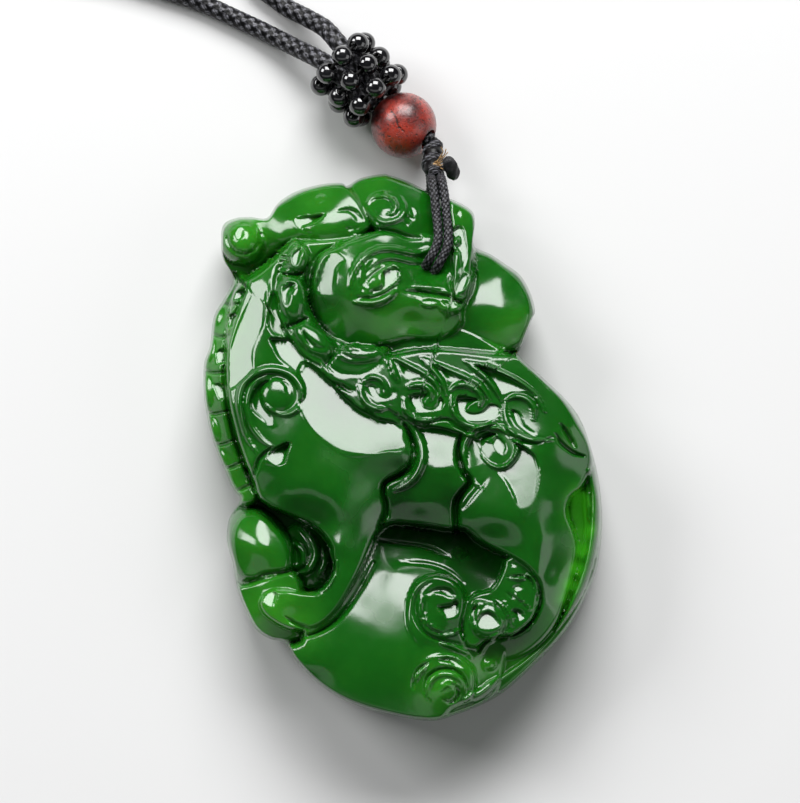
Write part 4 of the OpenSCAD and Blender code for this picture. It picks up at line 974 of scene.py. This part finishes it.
def ribs(path, radius, across, angle, closed=False):
    """Rings of points round a path: radius says how far out each is, by ring and angle."""
    way = np.roll(path, -1, 0) - np.roll(path, 1, 0) if closed else np.gradient(path, axis=0)
    way /= np.linalg.norm(way, axis=1)[:, None]
    right = np.cross(way, across)
    right /= np.linalg.norm(right, axis=1)[:, None]
    out = right[:, None] * np.cos(angle)[..., None] + np.cross(way, right)[:, None] * np.sin(angle)[..., None]
    return path[:, None] + out * np.broadcast_to(radius, out.shape[:2])[..., None]


def skin(rings, closed=False):
    """The points and faces over rings that run the same way round: closed on itself, or shut at both ends."""
    count, sides = rings.shape[:2]
    number = np.arange(count * sides).reshape(count, sides)
    number = np.vstack([number, number[:1]]) if closed else number
    beside = np.roll(number, -1, 1)
    faces = np.stack([number[:-1], beside[:-1], beside[1:], number[1:]], -1).reshape(-1, 4).tolist()
    points = rings.reshape(-1, 3)
    if closed:
        return points, faces
    first, last = len(points), len(points) + 1
    faces += [(first, int(b), int(a)) for a, b in zip(number[0], beside[0])]
    faces += [(last, int(a), int(b)) for a, b in zip(number[-1], beside[-1])]
    return np.vstack([points, rings[0].mean(0), rings[-1].mean(0)]), faces


def plait(angle, along, yarns, pitch):
    """A tubular braid: yarns wound both ways round it, each rounded across, over one and under the next by
    turns. Gives the height, from 0 to 1, and how far across the upper yarn each point is."""
    left, right = yarns * angle / (2 * np.pi) + along / pitch, yarns * angle / (2 * np.pi) - along / pitch
    heights = []
    for across, length in ((left, right + np.floor(left)), (right, left + np.floor(right) + 1)):
        swell = np.sqrt(1 - (2 * (across % 1) - 1) ** 2)
        heights.append(0.62 * swell + 0.38 * np.cos(np.pi * (length - 0.5)))
    upper = heights[0] > heights[1]
    return np.clip(np.maximum(*heights), 0, 1), np.where(upper, left % 1, right % 1)


def braided(name, path, radius, look, across, yarns, pitch, step, sides, depth=0.25):
    """A braided cord along a path. Its yarns' crests reach the radius, and the gaps between them lie deeper
    by the share depth of it."""
    path, along = evenly(path, step)
    angle = round_about(len(path), sides)
    height, yarn = plait(angle, along[:, None], yarns, pitch)
    rings = ribs(path, radius * (1 - depth + depth * height), across, angle)
    cord = surface(name, *skin(rings), look.material)
    paint(cord, "height", height)
    paint(cord, "yarn", yarn)
    return cord


def cord_look(name, dark, pale, roughness):
    """Black braided cord, with a painted glint, a paler colour broken up by noise, on the crest of each yarn.
    """
    look = Shader(name, IOR=1.3)
    height, yarn = look.attribute("height"), look.attribute("yarn")
    dust = look.noise(look.place(), 3.0, 4.0)
    filament = (yarn * FILAMENTS).sine()
    # Painted glint: the crests of the yarns get the pale colour.
    painted_glint = height.over(0.62, 1.0) * (0.7 + filament * 0.3) * dust.over(0.3, 0.62)
    look.feed("Base Color", look.blend(painted_glint, dark, pale))
    look.feed("Roughness", roughness + dust * 0.2)
    look.bump(filament * 0.5 + dust, 0.2, 0.00004)
    return look


# The pale colour is the painted glint on the yarn crests, here and on the cord inside the bead.
strand_look = cord_look("cord_hanging", CORD_BLACK, (0.16, 0.16, 0.18), 0.22)
strand_route = bend([
    (DIP[0] + x, DIP[1] + (y * TO_HOLE if y < 0 else y), z + STRAND_D / 2, turn)
    for x, y, z, turn in STRAND_ROUTE])
pair_turn = np.radians(strand_route[:, 3])
pair_side = np.column_stack([np.cos(pair_turn), np.sin(pair_turn), 0 * pair_turn])
for number, side in ((1, -1), (2, 1)):
    strand = braided(
        f"hanging_strand_{number}", strand_route[:, :3] + side * (STRAND_D + STRAND_GAP) / 2 * pair_side,
        STRAND_D / 2, strand_look, (1, 0, 0), yarns=6, pitch=YARN_PITCH, step=YARN_STEP, sides=48, depth=0.3)
    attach(strand, "root")
    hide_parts(f"hang_strand_{number}")


# The knot: the end of the same cord, wound tightly round both strands under the wooden bead and melted
# fast. Where the flame touched it, the yarn is scorched tan, and a few loose filaments stand out.
KNOT_D = 2.5
KNOT_CORD_R = 0.66
KNOT_TURNS = 3.2
KNOT_START = 0.6
KNOT_YARNS = 8
# Each row: mm to the right of the dip, mm above it, height of the middle, and share of the knot's width.
KNOT_ROUTE = [
    (-0.41, 5.69, 4.53, 0.5), (-0.21, 5.56, 4.6, 0.6), (-0.14, 5.06, 4.85, 0.76), (-0.21, 4.41, 5.2, 0.92),
    (-0.28, 3.96, 5.45, 1), (-0.36, 3.41, 5.8, 0.84), (-0.36, 2.86, 6.1, 0.94), (-0.31, 2.26, 6.45, 0.94),
    (-0.12, 1.81, 6.8, 0.8), (-0.03, 1.46, 7.05, 0.57),
]
# The scorched place in the picture, its height and its reach in mm.
SCORCH_PX = (437, 165)
SCORCH_HEIGHT = 7.1
SCORCH_REACH = 0.62
# Each loose filament at its root, middle and tip in the picture, and their heights in mm.
FIBRES = [
    ((437, 163), (443, 158), (448, 152)), ((438, 160), (444, 155), (446, 149)),
    ((434, 166), (440, 163), (444, 160)), ((433, 168), (438, 165), (441, 166)),
    ((436, 170), (440, 168), (443, 169)), ((432, 163), (437, 161), (441, 157)),
    ((431, 166), (436, 164), (441, 162)), ((433, 170), (438, 167), (443, 164)),
    ((439, 158), (443, 152), (441, 147)),
]
FIBRE_HEIGHTS = (6.9, 7.4, 7.8)
FIBRE_R = 0.055

knot_look = Shader("cord_knotted", IOR=1.3)
knot_height, knot_burn = knot_look.attribute("height"), knot_look.attribute("burnt")
knot_dust = knot_look.noise(knot_look.place(), 2.2, 4.0)
# Black, with a painted glint, a paler colour, on the crest of each yarn.
knot_black_and_painted_glint = knot_look.blend(
    knot_height.over(0.62, 1.0) * knot_dust.over(0.3, 0.6), CORD_BLACK, (0.14, 0.14, 0.16))
knot_tan = knot_look.colours(knot_dust, (0.3, (0.10, 0.045, 0.012)), (0.6, (0.52, 0.33, 0.15)))
knot_scorched = (knot_burn + knot_dust * 0.5).over(0.7, 0.95)
knot_look.feed("Base Color", knot_look.blend(knot_scorched, knot_black_and_painted_glint, knot_tan))
knot_look.feed("Roughness", 0.25 + knot_dust * 0.2)
knot_look.bump((knot_look.attribute("yarn") * FILAMENTS).sine(), 0.2, 0.00004)

# The wound cord over a plain core. Each shell is its points, its faces, and the height and the yarn that
# the material reads at the points, where the last value holds for the rest.
axis = bend(np.array(KNOT_ROUTE) + (*DIP, 0, 0), steps=24)
reach = axis[:, 3] * KNOT_D / 2
wind = np.linspace(0, 2 * np.pi * KNOT_TURNS, len(axis)) + KNOT_START
wound = ribs(axis[:, :3], (reach - KNOT_CORD_R * 0.95)[:, None].clip(0.05), (1, 0, 0), wind[:, None])[:, 0]
coiled, coiled_along = evenly(np.column_stack([wound, np.minimum(reach * 0.9, KNOT_CORD_R)]), YARN_STEP)
coiled_angle = round_about(len(coiled), 56)
coiled_height, coiled_yarn = plait(coiled_angle, coiled_along[:, None], KNOT_YARNS, YARN_PITCH)
coiled_rings = ribs(coiled[:, :3], coiled[:, 3:] * (0.7 + 0.3 * coiled_height), (0.2, 1, -0.4), coiled_angle)
core_rings = ribs(axis[:, :3], (reach * 0.8)[:, None], (1, 0, 0), round_about(len(axis), 20))
shells = [
    (*skin(coiled_rings), coiled_height.ravel(), coiled_yarn.ravel()),
    (*skin(core_rings), [0.1], [0.5]),
]
for fibre in FIBRES:
    hair = bend([spot(*at, height) for at, height in zip(fibre, FIBRE_HEIGHTS)], steps=5)
    shells.append((*skin(ribs(hair, FIBRE_R, (0, 0, 1), round_about(len(hair), 6))), [1.0], [0.0]))


def put_together(shells):
    """The points and the faces of several shells as one mesh: each shell's faces count on from the last."""
    starts = np.cumsum([0] + [len(shell[0]) for shell in shells])
    faces = [[n + int(start) for n in face] for start, shell in zip(starts, shells) for face in shell[1]]
    return np.vstack([shell[0] for shell in shells]), faces


knot_points, knot_faces = put_together(shells)
knot = surface("knot", knot_points, knot_faces, knot_look.material)
for attribute, column in (("height", 2), ("yarn", 3)):
    paint(knot, attribute, np.concatenate([
        np.pad(np.asarray(shell[column], float), (0, len(shell[0]) - len(shell[column])), mode="edge")
        for shell in shells]))
scorch_far = np.linalg.norm(knot_points - spot(*SCORCH_PX, SCORCH_HEIGHT), axis=1)
is_fibre = np.arange(len(knot_points)) >= len(shells[0][0]) + len(shells[1][0])
paint(knot, "burnt", np.where(is_fibre, 1, np.exp(-(scorch_far / SCORCH_REACH) ** 2)))
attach(knot, "root")
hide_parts("cord_knot")


# The stub: the cut end of that cord beside the knot, melted to a hard, charred lump so that it can't slip.
STUB_D = 1.6
STUB_L = 2.9
STUB_AT = (1.58, 2.12, 7.2)
STUB_TURN = (-46, 26)
STUB_RINGS, STUB_SIDES = 40, 48

char_look = Shader("cord_burnt", IOR=1.4)
char_at = char_look.place()
char_lumps = char_look.noise(char_at, 2.6, 5.0, 0.65)
char_look.feed("Base Color", char_look.colours(
    char_lumps, (0.3, (0.003, 0.003, 0.004)), (0.62, (0.016, 0.016, 0.018)), (0.8, (0.06, 0.055, 0.05))))
char_look.feed("Roughness", 0.25 + char_look.noise(char_at, 5.0, 2.0) * 0.4)
char_look.bump(char_lumps + char_look.noise(char_at, 8.0, 3.0) * 0.4, 0.7, 0.00012)

lean, swing = np.radians(STUB_TURN)
stub_way = np.array([math.sin(lean) * math.sin(swing), -math.sin(lean) * math.cos(swing), math.cos(lean)])
stub_along = np.linspace(-1, 1, STUB_RINGS)[:, None]
stub_angle = round_about(STUB_RINGS, STUB_SIDES)
# Low waves round it and along it make it lumpy, and its ends round off as a power of the way along.
lumps = 1 + 0.05 * np.sin(3 * stub_angle + 2.5 * stub_along) + 0.04 * np.sin(5 * stub_angle - 7 * stub_along)
lumps = lumps + 0.03 * np.sin(9 * stub_along)
stub_r = STUB_D / 2 * 0.94 * np.sqrt(np.clip(1 - np.abs(stub_along) ** 3.2, 0.0004, 1)) * lumps
stub_line = np.array([*DIP, 0]) + STUB_AT + stub_way * stub_along * STUB_L / 2
stub = surface("burnt_stub", *skin(ribs(stub_line, stub_r, (1, 0, 0), stub_angle)), char_look.material)
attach(stub, "root")
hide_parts("cord_stub")


# The wooden bead: rosewood turned to a ball, drilled right through, oiled and rubbed with use. Its pores
# run along the grain as short dark lines, and one fine crack opens beside the highlight.
WOOD_D = 7.0
WOOD_BORE_D = 2.3
KNOT_FROM_WOOD = 0.1
BORE_TURN = math.radians(-34)
BORE_RISE = math.radians(14)
GRAIN_TURN = (0.35, 0.5, -0.6)
# The crack in the picture, the height it is drawn at, and how far its darkness reaches, in mm.
CRACK_PX = [(391, 110), (395, 117), (397, 121), (398, 126), (404, 132)]
CRACK_HEIGHT = 6.7
CRACK_REACH = 0.07
WOOD_AT = (
    DIP[0] + KNOT_ROUTE[0][0] - (WOOD_D / 2 + KNOT_FROM_WOOD) * math.cos(BORE_TURN),
    DIP[1] + KNOT_ROUTE[0][1] - (WOOD_D / 2 + KNOT_FROM_WOOD) * math.sin(BORE_TURN),
    WOOD_D / 2,
)


def drilled(radius, bore, soft, steps, sides):
    """A ball with a hole right through it along Z: its profile, which is an arc outside, two rims rounded
    off by soft and a straight wall inside, is turned about Z. Gives rings of points."""
    start = math.asin((bore + soft) / radius)
    down = np.linspace(math.pi - start, start, steps)
    outside = np.column_stack([radius * np.sin(down), radius * np.cos(down)])
    depth = math.sqrt(radius ** 2 - (bore + soft) ** 2)
    turn = np.linspace(0, np.pi / 2, 5)[1:]
    rim = np.column_stack([bore + soft * (1 - np.sin(turn)), depth - soft * (1 - np.cos(turn)) * 0.6])
    wall = rim[-1:] * np.array([[1, 0.5], [1, 0], [1, -0.5]])
    profile = np.vstack([outside, rim, wall, (rim * (1, -1))[::-1]])
    angle = np.linspace(0, 2 * np.pi, sides, endpoint=False)
    out, height = profile[:, :1], np.repeat(profile[:, 1:], sides, 1)
    return np.stack([out * np.cos(angle), out * np.sin(angle), height], -1)


wood_look = Shader("rosewood", IOR=1.45, coat_weight=0.9, coat_roughness=0.26)
wood_at = wood_look.node(
    "ShaderNodeMapping", Vector=wood_look.place(), Rotation=GRAIN_TURN, Scale=(1, 1, 0.22))
wood_pores = wood_look.noise(wood_at, 3.4, 3.0, 0.6)
wood_bands = wood_look.noise(wood_at, 0.42, 3.0, 0.55)
wood_fine = wood_look.noise(wood_at, 9.0, 2.0, 0.6)
wood_worn = wood_look.noise(wood_look.place(), 0.5, 3.0)
wood_crack = wood_look.attribute("crack")
pore = wood_pores.over(0.52, 0.68)
wood_tone = wood_look.colours(
    wood_bands + wood_fine * 0.25 - 0.12,
    (0.28, (0.03, 0.002, 0.002)), (0.42, (0.13, 0.006, 0.003)), (0.62, (0.37, 0.024, 0.008)))
wood_look.feed("Base Color", wood_look.blend(
    (pore * 0.75 + wood_crack).over(0.0, 1.0), wood_tone, (0.028, 0.006, 0.005)))
wood_look.feed("Roughness", 0.3 + wood_worn * 0.15 + pore * 0.2)
wood_look.bump(wood_fine * 0.8 - pore - wood_crack * 2.5, 0.8, 0.0001)

bore_way = np.array([
    math.cos(BORE_RISE) * math.cos(BORE_TURN), math.cos(BORE_RISE) * math.sin(BORE_TURN), math.sin(BORE_RISE),
])


def placed(rings, way, up, at):
    """Rings turned so that their Z runs along way, and moved to a place."""
    side = np.cross(up, way)
    side = side / np.linalg.norm(side)
    return rings @ np.stack([side, np.cross(way, side), way]) + at


wood_shape = drilled(WOOD_D / 2, WOOD_BORE_D / 2, soft=0.14, steps=96, sides=144)
wood_points, wood_faces = skin(placed(wood_shape, bore_way, (0, 0, 1), WOOD_AT), closed=True)
wooden = surface("rosewood_bead", wood_points, wood_faces, wood_look.material)
crack_line = bend([spot(x, y, CRACK_HEIGHT) for x, y in CRACK_PX], steps=8)
crack_far = np.min(np.linalg.norm(wood_points[:, None, :2] - crack_line[None, :, :2], axis=2), axis=1)
paint(wooden, "crack", np.exp(-(crack_far / CRACK_REACH) ** 2) * (wood_points[:, 2] > WOOD_D / 2))
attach(wooden, "root")
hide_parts("wooden_bead")


# The cord inside the bead: the same braid, thicker, straight through the bore to the first black bead.
CORE_D = 1.8
CORE_OUT = 0.05

core_line = np.array([WOOD_AT + bore_way * share * (WOOD_D / 2 + CORE_OUT) for share in (-1, -0.3, 0.3, 1)])
core = braided("core", core_line, CORE_D / 2, strand_look, (0, 0, 1), yarns=6, pitch=1.3, step=0.12, sides=36)
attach(core, "root")
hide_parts("bead_core")


# The black beads: three rings of eight round glass beads. Each is drilled through and strung on the fine
# thread of its ring, and the rings sit side by side round the ends of the neck cord.
RINGS, RING_BEADS = 3, 8
BLACK_D = 2.3
BLACK_BORE_D = 0.9
BEAD_GAP = 0.2
CORD_GAP = 0.07
THREAD_D = 0.35
THREAD_STEPS, THREAD_SIDES = 280, 14
NECK_D = 2.05
RING_STEP = 2.45
STRING_TURN = math.radians(135)
RING_R = NECK_D + CORD_GAP + BLACK_D / 2
RING_HEIGHT = RING_R + BLACK_D / 2
FIRST_RING = math.sqrt(((WOOD_D + BLACK_D) / 2 + BEAD_GAP) ** 2 - ((WOOD_D - BLACK_D) / 2) ** 2)

glass_look = Shader("black_glass", IOR=1.75, coat_weight=0.5, coat_roughness=0.03)
glass_smear = glass_look.noise(glass_look.place(), 0.7, 4.0, 0.6)
glass_look.feed("Base Color", glass_look.blend(
    glass_smear.over(0.45, 0.75), (0.003, 0.003, 0.004), (0.012, 0.012, 0.013)))
glass_look.feed("Roughness", 0.05 + glass_smear.over(0.4, 0.8) * 0.12)
glass_look.bump(glass_look.noise(glass_look.place(), 2.5, 2.0), 0.25, 0.00003)

# The pale colour is a faint painted glint on the crests of the plies.
thread_look = cord_look("thread_black", (0.003, 0.003, 0.003), (0.02, 0.02, 0.022), 0.4)
string_way = np.array([math.cos(STRING_TURN), math.sin(STRING_TURN), 0])
string_side = np.array([-math.sin(STRING_TURN), math.cos(STRING_TURN), 0])
UP = np.array([0, 0, 1])
bead_shape = drilled(BLACK_D / 2, BLACK_BORE_D / 2, soft=0.08, steps=26, sides=36)
for ring in range(RINGS):
    middle = np.array([WOOD_AT[0], WOOD_AT[1], RING_HEIGHT]) + string_way * (FIRST_RING + RING_STEP * ring)
    for place in range(RING_BEADS):
        angle = 2 * math.pi / RING_BEADS * (place + (ring % 2) / 2)
        out = -math.cos(angle) * UP + math.sin(angle) * string_side
        rings = placed(bead_shape, np.cross(string_way, out), string_way, middle + out * RING_R)
        number = ring * RING_BEADS + place + 1
        bead = surface(f"glass_bead_{number}", *skin(rings, closed=True), glass_look.material)
        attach(bead, "root")
        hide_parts(f"black_bead_{number}")
    # The thread is a circle round the string, with three twisted plies that go round it twenty times.
    angle = np.linspace(0, 2 * np.pi, THREAD_STEPS, endpoint=False)[:, None]
    loop = middle + RING_R * (string_side * np.cos(angle) + UP * np.sin(angle))
    turn = round_about(THREAD_STEPS, THREAD_SIDES)
    twist = 0.5 + 0.5 * np.cos(3 * turn + 60 * angle)
    rings = ribs(loop, THREAD_D / 2 * (0.85 + 0.15 * twist), string_way, turn, closed=True)
    thread = surface(f"thread_{ring + 1}", *skin(rings, closed=True), thread_look.material)
    paint(thread, "height", twist)
    paint(thread, "yarn", turn / (2 * np.pi))
    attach(thread, "root")
    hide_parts(f"ring_thread_{ring + 1}")


# The neck cord: a thicker braided cord, twelve yarns round a soft core. It comes out of the bead cluster,
# goes once round the neck and back into the cluster, and here it lies loose on the table.
# Each row: mm to the right of the wooden bead's middle, mm above it, and the height of the cord's underside.
NECK_ROUTE = [
    (-3.45, 1.95, 3.4), (-5.7, 4.2, 3.4), (-7.2, 5.7, 3.4), (-8.1, 6.45, 3.35), (-9.6, 7.5, 2.7),
    (-11.4, 8.7, 1.6), (-14, 10.3, 0.6), (-17.4, 12.1, 0.1), (-24, 15, 0.02), (-35, 18, 0.02),
    (-54, 20, 0.02), (-84, 20, 0.02), (-118, 20, 0.02), (-152, 25, 0.02), (-184, 41, 0.02),
    (-208, 69, 0.02), (-217, 104, 0.02), (-209, 139, 0.02), (-186, 167, 0.02), (-152, 181, 0.02),
    (-118, 178, 0.02), (-88, 162, 0.02), (-66, 137, 0.02), (-50, 107, 0.02), (-39, 78, 0.02),
    (-31, 52, 0.02), (-24, 31, 0.02), (-17.6, 18.5, 0.02), (-13.4, 14.2, 0.25), (-10.4, 12.2, 1.2),
    (-8.5, 10.8, 2.2), (-7.3, 9.3, 3), (-6.45, 8.1, 3.35), (-5.7, 7.2, 3.4), (-4.2, 5.7, 3.4),
    (-1.95, 3.45, 3.4),
]
# The pale colour is the painted glint on the yarn crests.
neck_look = cord_look("cord_neck", CORD_BLACK, (0.25, 0.25, 0.28), 0.22)
neck_line = bend(np.array(NECK_ROUTE) + (WOOD_AT[0], WOOD_AT[1], NECK_D / 2), steps=8)
neck = braided(
    "neck_cord_braid", neck_line, NECK_D / 2, neck_look, UP, yarns=6, pitch=1.35, step=0.205, sides=30)
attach(neck, "root")
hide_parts("neck_cord")
